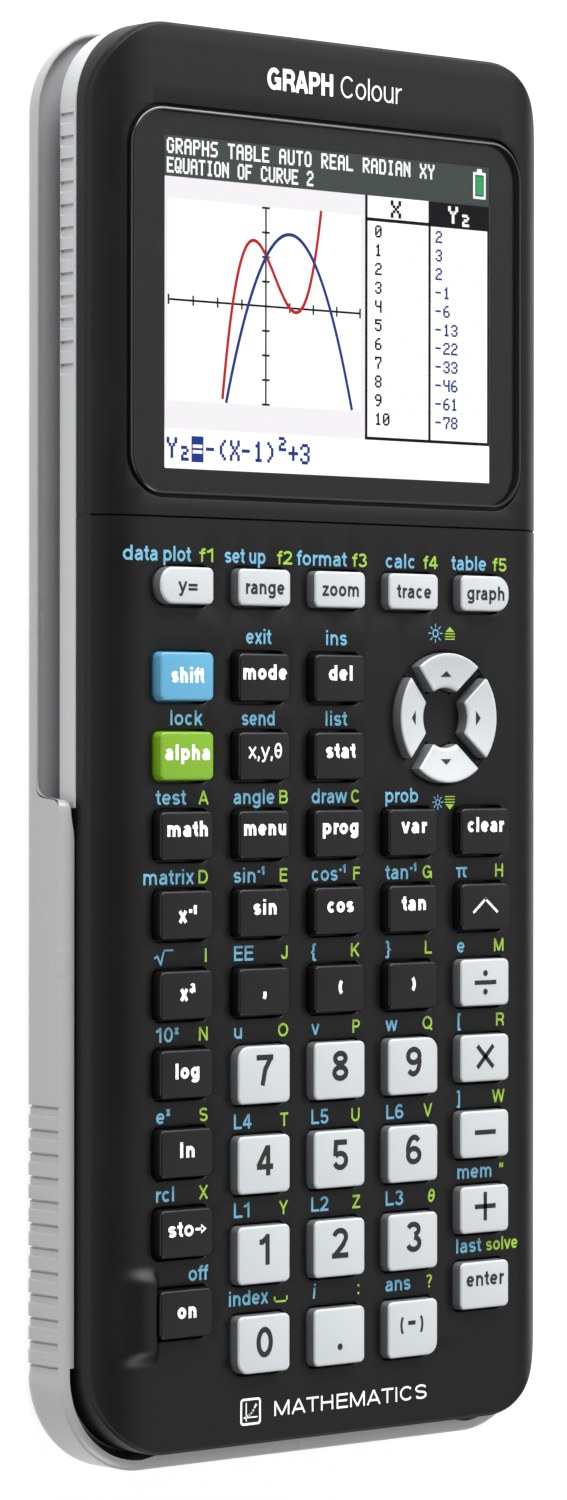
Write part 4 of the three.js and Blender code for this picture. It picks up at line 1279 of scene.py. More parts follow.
def letter(ch, w):
    """(ink width, left bearing, right bearing, strokes) of one sign at capital height 1 with stroke width w."""
    h = w / 2
    X = XH
    S_, R_, D_ = 0.085, 0.05, 0.015  # side room of a stem, a round and a slant

    def ring(cx, cy, rx, ry):
        return arc(cx, cy, rx, ry, 0, 360, 18) + ["closed"]

    def curl(W, H):
        a = (H - w) / 4
        return arc(W / 2, H - h - a, W / 2 - h, a, 22, 270, 10) + arc(W / 2, h + a, W / 2 - h, a, 90, -158, 10)[1:]

    if ch == " ":
        return 0.30, 0, 0, []
    if ch == "o":
        W = 0.66
        return W, R_, R_, [ring(W / 2, X / 2, W / 2 - h, X / 2 - h)]
    if ch in "nhmru":
        W = {"n": 0.6, "h": 0.6, "m": 0.96, "r": 0.37, "u": 0.6}[ch]
        ry = 0.24
        if ch == "u":
            r = W / 2 - h
            return W, S_, S_, [[(h, X), (h, h + ry)] + arc(W / 2, h + ry, r, ry, 180, 360)[1:], [(W - h, 0), (W - h, X)]]
        if ch == "r":
            return W, S_, 0.0, [[(h, 0), (h, X)], arc(W + 0.02, X - h - 0.25, W + 0.02 - h, 0.25, 178, 92)]
        if ch == "m":
            m = W / 2
            r = (m - h) / 2
            return W, S_, S_, [[(h, 0), (h, X)], arc(h + r, X - h - ry, r, ry, 180, 0) + [(m, 0)], arc(m + r, X - h - ry, r, ry, 180, 0) + [(W - h, 0)]]
        r = W / 2 - h
        return W, S_, S_, [[(h, 0), (h, 1.0 if ch == "h" else X)], arc(W / 2, X - h - ry, r, ry, 180, 0) + [(W - h, 0)]]
    if ch in "bdpqg":
        W = 0.66
        o = ring(W / 2, X / 2, W / 2 - h, X / 2 - h)
        if ch == "b":
            return W, S_, R_, [[(h, 0), (h, 1.0)], o]
        if ch == "d":
            return W, R_, S_, [[(W - h, 0), (W - h, 1.0)], o]
        if ch == "p":
            return W, S_, R_, [[(h, DESC), (h, X)], o]
        if ch == "q":
            return W, R_, S_, [[(W - h, DESC), (W - h, X)], o]
        return W, R_, S_, [o, [(W - h, X), (W - h, DESC + h + 0.14)] + arc(W / 2, DESC + h + 0.14, W / 2 - h, 0.14, 0, -160)[1:]]
    if ch == "c":
        W = 0.61
        return W, R_, 0.03, [arc(W / 2 + 0.01, X / 2, W / 2 - h, X / 2 - h, 42, 318, 14)]
    if ch == "e":
        W = 0.65
        return W, R_, R_, [[(h, X * 0.5), (W - h, X * 0.5)], arc(W / 2, X / 2, W / 2 - h, X / 2 - h, 0, 318, 16)]
    if ch == "a":
        W = 0.62
        xr = W - h - 0.03
        bowl = [(xr, 0.45), (0.32, 0.415)] + arc(h + 0.16, 0.225, 0.16, 0.225 - h + 0.02, 110, 270, 8) + [(xr - 0.12, h + 0.04), (xr, 0.2)]
        return W, R_, S_ - 0.03, [arc(0.31, X - h - 0.17, xr - 0.31, 0.17, 160, 0, 8) + [(xr, 0.0)], bowl]
    if ch == "s":
        return 0.57, 0.04, 0.04, [curl(0.57, X)]
    if ch == "t":
        W, xs = 0.37, 0.1 + h
        return W, D_, 0.03, [[(xs, X + 0.2), (xs, h + 0.13)] + arc(xs + 0.13, h + 0.13, 0.13, 0.13, 180, 262, 4)[1:] + [(W, h)], [(0, X - h), (W - 0.01, X - h)]]
    if ch == "f":
        W, xs = 0.38, 0.09 + h
        return W, D_, 0.0, [[(xs, 0), (xs, 1 - h - 0.14)] + arc(xs + 0.14, 1 - h - 0.14, 0.14, 0.14, 180, 95, 4)[1:] + [(W, 1 - h)], [(0, X - h), (W - 0.02, X - h)]]
    if ch == "i":
        return w, S_, S_, [[(h, 0), (h, X)], [(h, 0.86), (h, 1.01)]]
    if ch == "l":
        return w, S_, S_, [[(h, 0), (h, 1.0)]]
    if ch == "k":
        W = 0.6
        return W, S_, D_, [[(h, 0), (h, 1.0)], [(W - 0.08, X), (h, 0.24)], [(0.24, 0.42), (W - 0.08, 0)]]
    if ch == "v":
        W = 0.64
        return W, D_, D_, [[(h * 0.8, X), (W / 2, 0.02)], [(W / 2, 0.02), (W - h * 0.8, X)]]
    if ch == "w":
        W = 0.96
        return W, D_, D_, [[(h * 0.8, X), (W * 0.27, 0.02)], [(W * 0.27, 0.02), (W / 2, X)], [(W / 2, X), (W * 0.73, 0.02)], [(W * 0.73, 0.02), (W - h * 0.8, X)]]
    if ch == "x":
        W = 0.62
        return W, D_, D_, [[(h, 0), (W - h, X)], [(h, X), (W - h, 0)]]
    if ch == "y":
        W = 0.64
        return W, D_, D_, [[(h * 0.8, X), (W / 2, 0.04)], [(W - h * 0.8, X), (W / 2 - 0.08, DESC + 0.12), (0.08, DESC + h)]]
    if ch == "z":
        W = 0.56
        return W, 0.03, 0.03, [[(0.02, X - h), (W - 0.02, X - h)], [(W - h, X - h), (h, h)], [(0.0, h), (W, h)]]
    if ch == "A":
        W = 0.86
        return W, D_, D_, [[(h * 0.8, 0), (W / 2, 1 - 0.02)], [(W / 2, 1 - 0.02), (W - h * 0.8, 0)], [(0.2, 0.3), (W - 0.2, 0.3)]]
    if ch in "BPR":
        W = {"B": 0.76, "P": 0.74, "R": 0.8}[ch]
        ym = 0.53 if ch == "B" else 0.46
        top = [(h, 1 - h), (W - 0.32, 1 - h)] + arc(W - 0.32, (1 - h + ym) / 2, 0.28 - h + (0 if ch == "B" else 0.04), (1 - h - ym) / 2, 90, -90, 8)[1:] + [(h, ym)]
        out = [[(h, 0), (h, 1)], top]
        if ch == "B":
            out.append([(h, ym), (W - 0.30, ym)] + arc(W - 0.30, (ym + h) / 2, 0.30 - h, (ym - h) / 2, 90, -90, 8)[1:] + [(h, h)])
        if ch == "R":
            out.append([(W - 0.36, ym), (W - 0.22, ym - 0.06), (W - 0.13, ym - 0.2), (W - 0.09, 0)])
        return W, S_, 0.04, out
    if ch in "CGOQ":
        W = 0.9 if ch != "C" else 0.86
        o = (W / 2, 0.5, W / 2 - h, 0.5 - h)
        if ch == "O":
            return W, R_, R_, [ring(*o)]
        if ch == "Q":
            return W, R_, R_, [ring(*o), [(W * 0.58, 0.24), (W - 0.02, -0.04)]]
        if ch == "C":
            return W, R_, 0.04, [arc(*o, 40, 320, 16)]
        return W, R_, S_, [arc(*o, 40, 340, 17), [(W * 0.55, 0.48), (W - h, 0.48), (W - h, 0.02)]]
    if ch == "D":
        W = 0.8
        return W, S_, R_, [[(h, 0), (h, 1)], [(h, 1 - h), (W - 0.42, 1 - h)] + arc(W - 0.42, 0.5, 0.42 - h, 0.5 - h, 90, -90, 10)[1:] + [(h, h)]]
    if ch in "EF":
        W = 0.7 if ch == "E" else 0.65
        out = [[(h, 0), (h, 1)], [(h, 1 - h), (W, 1 - h)], [(h, 0.52), (W - 0.04, 0.52)]]
        if ch == "E":
            out.append([(h, h), (W, h)])
        return W, S_, 0.04, out
    if ch == "H":
        W = 0.78
        return W, S_, S_, [[(h, 0), (h, 1)], [(W - h, 0), (W - h, 1)], [(h, 0.52), (W - h, 0.52)]]
    if ch == "I":
        return w, S_, S_, [[(h, 0), (h, 1)]]
    if ch == "J":
        W = 0.56
        return W, 0.03, S_, [[(W - h, 1), (W - h, h + 0.2)] + arc(W / 2, h + 0.2, W / 2 - h, 0.2, 0, -180, 8)[1:] + [(h, 0.32)]]
    if ch == "K":
        W = 0.8
        return W, S_, D_, [[(h, 0), (h, 1)], [(W - 0.1, 1), (h, 0.36)], [(0.3, 0.56), (W - 0.1, 0)]]
    if ch == "L":
        W = 0.62
        return W, S_, 0.02, [[(h, 1), (h, 0)], [(h, h), (W, h)]]
    if ch == "M":
        W = 0.94
        return W, S_, S_, [[(h, 0), (h, 1)], [(h, 0.97), (W / 2, 0.04)], [(W / 2, 0.04), (W - h, 0.97)], [(W - h, 1), (W - h, 0)]]
    if ch == "N":
        W = 0.78
        return W, S_, S_, [[(h, 0), (h, 1)], [(h, 0.96), (W - h, 0.04)], [(W - h, 1), (W - h, 0)]]
    if ch == "S":
        return 0.76, 0.05, 0.05, [curl(0.76, 1.0)]
    if ch == "T":
        W = 0.74
        return W, 0.03, 0.03, [[(W / 2, 0), (W / 2, 1)], [(0, 1 - h), (W, 1 - h)]]
    if ch == "U":
        W = 0.78
        return W, S_, S_, [[(h, 1), (h, h + 0.3)] + arc(W / 2, h + 0.3, W / 2 - h, 0.3, 180, 360, 9)[1:] + [(W - h, 1)]]
    if ch == "V":
        W = 0.82
        return W, D_, D_, [[(h * 0.8, 1), (W / 2, 0.02)], [(W / 2, 0.02), (W - h * 0.8, 1)]]
    if ch == "W":
        W = 1.16
        return W, D_, D_, [[(h * 0.8, 1), (W * 0.26, 0.02)], [(W * 0.26, 0.02), (W / 2, 1)], [(W / 2, 1), (W * 0.74, 0.02)], [(W * 0.74, 0.02), (W - h * 0.8, 1)]]
    if ch == "X":
        W = 0.8
        return W, D_, D_, [[(h, 0), (W - h, 1)], [(h, 1), (W - h, 0)]]
    if ch == "Y":
        W = 0.8
        return W, D_, D_, [[(h, 1), (W / 2, 0.42)], [(W - h, 1), (W / 2, 0.42)], [(W / 2, 0.46), (W / 2, 0)]]
    if ch == "Z":
        W = 0.74
        return W, 0.03, 0.03, [[(0.03, 1 - h), (W - 0.02, 1 - h)], [(W - h, 1 - h), (h, h)], [(0, h), (W, h)]]
    if ch == "0":
        W = 0.68
        return W, R_, R_, [ring(W / 2, 0.5, W / 2 - h, 0.5 - h)]
    if ch == "1":
        W = 0.40
        return W, 0.09, 0.12, [[(W - h, 0), (W - h, 1.0)], [(0.0, 0.80 - h * 0.6), (0.12, 0.80 - h * 0.5), (W - h, 1.0 - h * 0.9)]]
    if ch == "2":
        W = 0.66
        return W, R_, R_, [arc(W / 2, 0.70, W / 2 - h, 0.30 - h, 170, -20, 9) + [(W * 0.68, 0.44), (h + 0.06, 0.14), (h, h)], [(0, h), (W, h)]]
    if ch == "3":
        W = 0.66
        return W, R_, R_, [arc(W / 2 - 0.01, 0.735, W / 2 - h - 0.02, 0.265 - h, 160, -80, 10), arc(W / 2, 0.275, W / 2 - h, 0.275 - h + 0.02, 85, -165, 11)]
    if ch == "4":
        W = 0.68
        return W, R_, R_, [[(W * 0.70, 0), (W * 0.70, 0.98)], [(W * 0.70 - 0.02, 0.95), (h * 0.8, 0.30)], [(0.02, 0.29), (W, 0.29)]]
    if ch == "5":
        W = 0.66
        return W, R_, R_, [[(W - 0.06, 1 - h), (0.13 + h * 0.3, 1 - h), (0.08 + h * 0.5, 0.46)], arc(W / 2, 0.315, W / 2 - h, 0.315 - h + 0.01, 142, -160, 12)]
    if ch == "6":
        W = 0.66
        return W, R_, R_, [ring(W / 2, 0.31, W / 2 - h, 0.31 - h), arc(W / 2 + 0.02, 0.5, W / 2 + 0.02 - h, 0.5 - h, 45, 200, 8)]
    if ch == "7":
        W = 0.64
        return W, R_, 0.03, [[(0, 1 - h), (W, 1 - h)], [(W - h * 0.9, 1 - h), (W * 0.52, 0.52), (W * 0.36, 0.0)]]
    if ch == "8":
        W = 0.68
        return W, R_, R_, [ring(W / 2, 0.745, W / 2 - h - 0.03, 0.255 - h), ring(W / 2, 0.275, W / 2 - h, 0.275 - h)]
    if ch == "9":
        W = 0.66
        return W, R_, R_, [ring(W / 2, 0.69, W / 2 - h, 0.31 - h), arc(W / 2 - 0.02, 0.5, W / 2 + 0.02 - h, 0.5 - h, 20, -135, 8)]
    if ch == "=":
        W = 0.62
        return W, 0.06, 0.06, [[(0, 0.50), (W, 0.50)], [(0, 0.22), (W, 0.22)]]
    if ch in "-−":
        W = 0.36
        return W, 0.05, 0.05, [[(0, 0.36), (W, 0.36)]]
    if ch == ",":
        return w, 0.06, 0.06, [[(h, w), (h, 0.0), (h - 0.06, -0.18)]]
    if ch == ".":
        return w, 0.06, 0.06, [[(h, 0), (h, w)]]
    if ch == ":":
        return w, S_, S_, [[(h, 0), (h, w)], [(h, XH - w), (h, XH)]]
    if ch == '"':
        W = 0.34
        return W, 0.05, 0.05, [[(h, 0.66), (h, 1.0)], [(W - h, 0.66), (W - h, 1.0)]]
    if ch == "?":
        W = 0.58
        return W, R_, R_, [arc(W / 2, 0.73, W / 2 - h, 0.27 - h, 165, -50, 9) + [(W / 2, 0.4), (W / 2, 0.27)], [(W / 2, 0), (W / 2, w)]]
    if ch in "()":
        W = 0.28
        p = arc(0.5 + h, 0.36, 0.5, 0.66, 146, 214, 7)
        p = [(x - min(q[0] for q in p) + h, y) for x, y in p]
        return W, R_, R_, [p if ch == "(" else [(W - x, y) for x, y in reversed(p)]]
    if ch in "[]":
        W = 0.26
        p = [(W, 1.0 - h), (h, 1.0 - h), (h, -0.2 + h), (W, -0.2 + h)]
        return W, R_, R_, [p if ch == "[" else [(W - x, y) for x, y in p]]
    if ch in "{}":
        W = 0.34
        p = [(W, 1.0 - h), (W * 0.62, 1.0 - h), (W * 0.5, 0.86), (W * 0.5, 0.52), (W * 0.38, 0.42), (0.02, 0.39), (W * 0.38, 0.36), (W * 0.5, 0.26), (W * 0.5, -0.08), (W * 0.62, -0.2 + h), (W, -0.2 + h)]
        return W, 0.04, 0.04, [p if ch == "{" else [(W - x, y) for x, y in p]]
    if ch == "π":
        W = 0.7
        return W, 0.03, 0.03, [[(0, XH - h), (W, XH - h)], [(W * 0.28, XH - h), (W * 0.28, 0.0)], [(W * 0.72, XH - h), (W * 0.72, h + 0.08), (W * 0.82, h), (W * 0.95, h)]]
    if ch == "θ":
        W = 0.56
        return W, R_, R_, [ring(W / 2, 0.5, W / 2 - h, 0.5 - h), [(h, 0.5), (W - h, 0.5)]]
    raise ValueError("no sign for " + ch)


def lettering(s, w):
    """Strokes of the words at capital height 1 and their whole width; ^ raises what follows it."""
    out, x, first = [], 0.0, True
    scale, lift = 1.0, 0.0
    for ch in s:
        if ch == "^":
            scale, lift = 0.58, 0.52
            x += 0.03
            continue
        W, lb, rb, strokes = letter(ch, w / scale if scale < 1 else w)
        if not first:
            x += lb * scale
        first = False
        for st in strokes:
            out.append([p if p == "closed" else (x + p[0] * scale, lift + p[1] * scale) for p in st])
        x += W * scale
        last = rb * scale
        x += last
    return out, x - last, w


def band(points, w):
    """Left and right edges of a stroke of width w along points, with mitred bends."""
    closed = points[-1] == "closed"
    p = [q for q in points if q != "closed"]
    if closed:
        p = p[:-1]
    n = len(p)
    left, right = [], []
    for i in range(n):
        a = p[i - 1] if (closed or i > 0) else None
        c = p[(i + 1) % n] if (closed or i < n - 1) else None
        b = p[i]
        ns = []
        for q, r in ((a, b), (b, c)):
            if q is None or r is None:
                continue
            dx, dy = r[0] - q[0], r[1] - q[1]
            d = math.hypot(dx, dy)
            if d > 1e-9:
                ns.append((-dy / d, dx / d))
        nx = sum(v[0] for v in ns) / len(ns)
        ny = sum(v[1] for v in ns) / len(ns)
        k = max(nx * nx + ny * ny, 0.35)
        left.append((b[0] + nx / k * w / 2, b[1] + ny / k * w / 2))
        right.append((b[0] - nx / k * w / 2, b[1] - ny / k * w / 2))
    return left, right, closed


# ------------------------------------------------------------------ printed legends
class Print:
    """Ink laid on a surface: all marks of one colour that ride together."""

    def __init__(self):
        self.verts, self.faces = [], []

    def add(self, vs, fs, place, surface, lift=0.016, sink=0.03):
        base = len(self.verts)
        for x, y, z in vs:
            px, py = place(x, y)
            h = surface(px, py) + (lift if z > 0 else -sink)
            self.verts.append((px * MM, py * MM, h * MM))
        self.faces += [[base + i for i in f] for f in fs]

    def stroke(self, left, right, closed, place, surface, step):
        """One closed ribbon of ink between two edges."""
        n = len(left)
        vs = []
        for a, c in zip(left, right):
            vs += [(a[0], a[1], 1.0), (c[0], c[1], 1.0), (c[0], c[1], -1.0), (a[0], a[1], -1.0)]
        fs = []
        for i in range(n if closed else n - 1):
            p, q = 4 * i, 4 * ((i + 1) % n)
            for k in range(4):
                m = (k + 1) % 4
                fs.append([p + m, p + k, q + k, q + m])
        if not closed:
            fs.append([0, 1, 2, 3])
            fs.append([4 * (n - 1) + k for k in (3, 2, 1, 0)])
        self.add(vs, fs, place, surface, lift=0.014 + step)

    def text(self, s, x0, x1, y_base, cap, surface, weight=0.15, slant=0.0):
        """s from x0 to x1 with its baseline at y_base; cap is the height of a capital."""
        strokes, width, w = lettering(s, weight)
        sx = (x1 - x0) / width
        for i, st in enumerate(strokes):
            laid = [p if p == "closed" else (x0 + p[0] * sx + slant * p[1] * cap, y_base + p[1] * cap) for p in st]
            left, right, closed = band(laid, w * cap)
            self.stroke(left, right, closed, lambda x, y: (x, y), surface, 0.0012 * (i % 5))

    def poly(self, pts, surface):
        """A filled outline given counter-clockwise."""
        n = len(pts)
        vs = [(x, y, 1.0) for x, y in pts] + [(x, y, -1.0) for x, y in pts]
        fs = [list(range(n)), list(range(2 * n - 1, n - 1, -1))]
        for i in range(n):
            j = (i + 1) % n
            fs.append([i + n, j + n, j, i])
        self.add(vs, fs, lambda x, y: (x, y), surface)

    def line(self, pts, width, surface):
        for (xa, ya), (xb, yb) in zip(pts, pts[1:]):
            d = math.hypot(xb - xa, yb - ya)
            ux, uy = (xb - xa) / d * width / 2, (yb - ya) / d * width / 2
            self.poly([(xa - ux + uy, ya - uy - ux), (xb + ux + uy, yb + uy - ux), (xb + ux - uy, yb + uy + ux), (xa - ux - uy, ya - uy + ux)], surface)

    def object(self, name, material):
        me = bpy.data.meshes.new(name)
        me.from_pydata(self.verts, [], self.faces)
        me.update()
        me.materials.append(material)
        ob = bpy.data.objects.new(name, me)
        bpy.context.scene.collection.objects.link(ob)
        return ob


BLUE, GREEN, WHITE = Print(), Print(), Print()
# (words, left, right, middle of the capitals) in display millimetres as they sit on the face
ROWS_BLUE = [
    ("data plot", -6.4, 4.4, 53.8), ("set up", 10.1, 17.0, 53.8), ("format", 22.4, 31.1, 53.8), ("calc", 38.0, 43.4, 53.8), ("table", 49.9, 56.3, 53.8),
    ("exit", 13.7, 18.0, 64.2), ("ins", 27.5, 31.2, 64.2),
    ("lock", 1.0, 6.4, 74.8), ("send", 13.0, 18.6, 74.8), ("list", 27.4, 31.2, 74.8),
    ("test", -1.4, 3.6, 85.0), ("angle", 11.6, 18.6, 85.0), ("draw", 25.0, 31.2, 85.0), ("prob", 38.0, 43.9, 85.0),
    ("matrix", -3.4, 5.0, 95.2), ("sin^-1", 11.6, 16.9, 95.2), ("cos^-1", 25.0, 31.0, 95.2), ("tan^-1", 38.0, 43.6, 95.2), ("π", 50.8, 52.8, 95.2),
    ("EE", 11.7, 15.0, 105.3), ("{", 24.9, 25.8, 105.3), ("}", 38.1, 39.0, 105.3), ("e", 51.0, 52.4, 105.3),
    ("10^x", -1.3, 2.5, 115.4), ("u", 11.7, 13.1, 115.4), ("v", 25.0, 26.4, 115.4), ("w", 38.1, 40.2, 115.4), ("[", 51.1, 51.7, 115.4),
    ("e^x", -1.3, 1.1, 125.8), ("]", 51.0, 51.6, 125.8), ("L4", 11.7, 14.7, 127.1), ("L5", 25.0, 28.0, 127.1), ("L6", 38.2, 41.3, 127.1),
    ("rcl", -1.3, 1.7, 135.8), ("mem", 51.1, 57.4, 135.8), ("L1", 11.7, 14.4, 138.6), ("L2", 25.0, 28.0, 138.6), ("L3", 38.1, 41.3, 138.6),
    ("off", 4.1, 7.4, 146.2), ("index", 10.9, 17.6, 150.0), ("i", 25.2, 25.7, 150.0), ("ans", 38.1, 42.6, 150.0), ("last", 50.9, 55.5, 145.8),
]
ROWS_GREEN = [
    ("f1", 5.8, 8.2, 53.8), ("f2", 19.0, 21.6, 53.8), ("f3", 32.1, 34.7, 53.8), ("f4", 44.8, 47.4, 53.8), ("f5", 57.5, 60.1, 53.8),
    ("A", 5.7, 7.4, 85.0), ("B", 19.4, 20.9, 85.0), ("C", 31.9, 33.5, 85.0),
    ("D", 5.7, 7.3, 95.2), ("E", 19.5, 20.8, 95.2), ("F", 32.3, 33.5, 95.2), ("G", 44.7, 46.4, 95.2), ("H", 58.0, 59.5, 95.2),
    ("I", 6.8, 7.1, 105.3), ("J", 19.7, 20.9, 105.3), ("K", 31.9, 33.5, 105.3), ("L", 45.1, 46.4, 105.3), ("M", 57.8, 59.6, 105.3),
    ("N", 5.8, 7.3, 115.4), ("O", 19.2, 21.0, 115.4), ("P", 32.2, 33.5, 115.4), ("Q", 44.7, 46.5, 115.4), ("R", 58.2, 59.7, 115.4),
    ("S", 5.9, 7.3, 125.8), ("W", 57.5, 59.8, 125.8), ("T", 19.6, 21.0, 127.1), ("U", 32.0, 33.5, 127.1), ("V", 44.9, 46.5, 127.1),
    ("X", 5.8, 7.4, 135.8), ('"', 58.8, 59.6, 135.8), ("Y", 19.4, 21.0, 138.6), ("Z", 32.2, 33.6, 138.6), ("θ", 45.6, 46.9, 138.6),
    (":", 33.1, 33.5, 150.0), ("?", 45.4, 46.5, 150.0), ("solve", 56.4, 62.4, 145.8),
]


def face_x(u):
    return u - 28.45 - 0.44


def lay(rows, sheet_, cap, middle):
    for s, u0, u1, v in rows:
        slant = 0.12 if s in ("i", "θ") else 0.0
        sheet_.text(s, face_x(u0), face_x(u1), 78.6 - v + middle - cap / 2, cap, face_z, weight=0.165, slant=slant)


def sun(sheet_, x, y, r):
    ring = circle(x, y, r * 0.44, 16)
    hole = circle(x, y, r * 0.29, 16)
    for i in range(16):
        j = (i + 1) % 16
        sheet_.poly([hole[i], ring[i], ring[j], hole[j]], face_z)
    for k in range(8):
        a = math.pi * k / 4
        c, s = math.cos(a), math.sin(a)
        sheet_.line([(x + c * r * 0.66, y + s * r * 0.66), (x + c * r * 0.94, y + s * r * 0.94)], 0.15, face_z)


def stack(sheet_, x0, x1, y0, y1, upward):
    """A small wedge with three bars, for brighter and dimmer."""
    xm, h = (x0 + x1) / 2, (y1 - y0)
    if upward:
        sheet_.poly([(x0 + 0.1, y1 - h * 0.38), (x1 - 0.1, y1 - h * 0.38), (xm, y1)], face_z)
        for k in range(3):
            y = y0 + h * 0.08 + k * h * 0.2
            sheet_.line([(x0 + 0.07, y), (x1 - 0.07, y)], 0.15, face_z)
    else:
        sheet_.poly([(xm, y0), (x1 - 0.1, y0 + h * 0.38), (x0 + 0.1, y0 + h * 0.38)], face_z)
        for k in range(3):
            y = y1 - h * 0.08 - k * h * 0.2
            sheet_.line([(x0 + 0.07, y), (x1 - 0.07, y)], 0.15, face_z)


lay(ROWS_BLUE, BLUE, 1.95, 0.13)
lay(ROWS_GREEN, GREEN, 1.78, 0.07)
sun(BLUE, face_x(47.02), 78.6 - 63.2, 1.3)
sun(BLUE, face_x(47.45), 78.6 - 85.85, 0.98)
for v0, v1, upward in ((64.1, 62.3, True), (86.85, 84.95, False)):
    stack(GREEN, face_x(48.75), face_x(50.55), 78.6 - v0, 78.6 - v1, upward)
# root sign and the space mark
yb = 78.6 - 105.3
BLUE.line([(face_x(-1.5), yb - 0.1), (face_x(-1.1), yb + 0.15), (face_x(-0.55), yb - 0.95), (face_x(0.0), yb + 0.85), (face_x(1.4), yb + 0.85)], 0.24, face_z)
yb = 78.6 - 150.0
GREEN.line([(face_x(18.7), yb - 0.2), (face_x(18.7), yb - 0.75), (face_x(20.8), yb - 0.75), (face_x(20.8), yb - 0.2)], 0.26, face_z)
# plain words at the top, and a plain mark with a plain word at the bottom
WHITE.text("GRAPH", face_x(17.3), face_x(28.6), 78.6 + 8.5 - 1.35, 2.9, face_z, weight=0.2)
WHITE.text("Colour", face_x(30.0), face_x(40.8), 78.6 + 8.5 - 1.35, 2.9, face_z, weight=0.09)
xm, ym = face_x(14.6), 78.6 - 164.7
for a, c in ((rr(xm - 1.75, xm + 1.75, ym - 1.75, ym + 1.75, 0.5, 4), rr(xm - 1.45, xm + 1.45, ym - 1.45, ym + 1.45, 0.3, 4)),):
    n = len(a)
    for i in range(n):
        j = (i + 1) % n
        WHITE.poly([c[i], a[i], a[j], c[j]], face_z)
WHITE.line([(xm - 1.1, ym - 0.75), (xm + 1.1, ym - 0.75)], 0.18, face_z)
WHITE.line([(xm - 0.75, ym - 1.1), (xm - 0.75, ym + 1.1)], 0.18, face_z)
WHITE.line([(xm - 0.6 + 0.3 * k, ym - 0.55 + 1.35 * (k / 5.0) ** 2) for k in range(6)], 0.28, face_z)
WHITE.text("MATHEMATICS", face_x(18.6), face_x(45.6), ym - 0.95, 1.95, face_z, weight=0.14)
for name, sheet_, mat in (("face_labels_blue", BLUE, MAT["ink_blue"]), ("face_labels_green", GREEN, MAT["ink_green"]), ("face_labels_white", WHITE, MAT["ink_white"])):
    ob = sheet_.object(name, mat)
    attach(ob, ROOT)

# (key, words, left, right, middle, capital height, weight) in display millimetres; left and right are widths only
LEGENDS = {
    "key_y_equals": ("y=", 3.2, 58.0, 1.9), "key_window": ("range", 6.6, 58.0, 1.9), "key_zoom": ("zoom", 6.4, 58.0, 1.9),
    "key_trace": ("trace", 6.2, 58.0, 1.9), "key_graph": ("graph", 6.9, 58.0, 1.9),
    "key_second": ("shift", 5.4, 69.5, 2.0), "key_mode": ("mode", 7.5, 69.0, 2.0), "key_delete": ("del", 4.2, 69.0, 2.0),
    "key_alpha": ("alpha", 7.5, 79.4, 2.0), "key_variable": ("x,y,θ", 5.8, 79.2, 2.0), "key_stat": ("stat", 5.2, 79.2, 2.0),
    "key_math": ("math", 6.8, 89.2, 2.0), "key_apps": ("menu", 7.2, 89.2, 2.0), "key_program": ("prog", 6.3, 89.2, 2.0),
    "key_vars": ("var", 4.6, 89.2, 2.0), "key_clear": ("clear", 6.7, 89.2, 2.0),
    "key_inverse": ("x^-1", 3.2, 100.2, 2.0), "key_sin": ("sin", 4.0, 99.5, 2.0), "key_cos": ("cos", 4.7, 99.5, 2.0),
    "key_tan": ("tan", 4.4, 99.5, 2.0),
    "key_square": ("x^2", 2.6, 110.2, 2.0), "key_log": ("log", 4.0, 120.2, 2.0), "key_ln": ("ln", 2.5, 130.3, 2.0),
    "key_store": ("sto", 4.4, 140.4, 2.0), "key_on": ("on", 3.2, 150.9, 2.0), "key_enter": ("enter", 6.9, 150.4, 2.0),
    "key_comma": (",", 0.55, 109.9, 2.2), "key_paren_open": ("(", 0.9, 110.0, 2.2), "key_paren_close": (")", 0.9, 110.0, 2.2),
}
DIGITS = {"key_7": "7", "key_8": "8", "key_9": "9", "key_4": "4", "key_5": "5", "key_6": "6", "key_1": "1", "key_2": "2", "key_3": "3", "key_0": "0"}
DIGIT_V = {"7": 120.5, "8": 120.5, "9": 120.5, "4": 132.2, "5": 132.2, "6": 132.2, "1": 143.8, "2": 143.8, "3": 143.8, "0": 155.8}
DIGIT_W = {"1": 1.75}

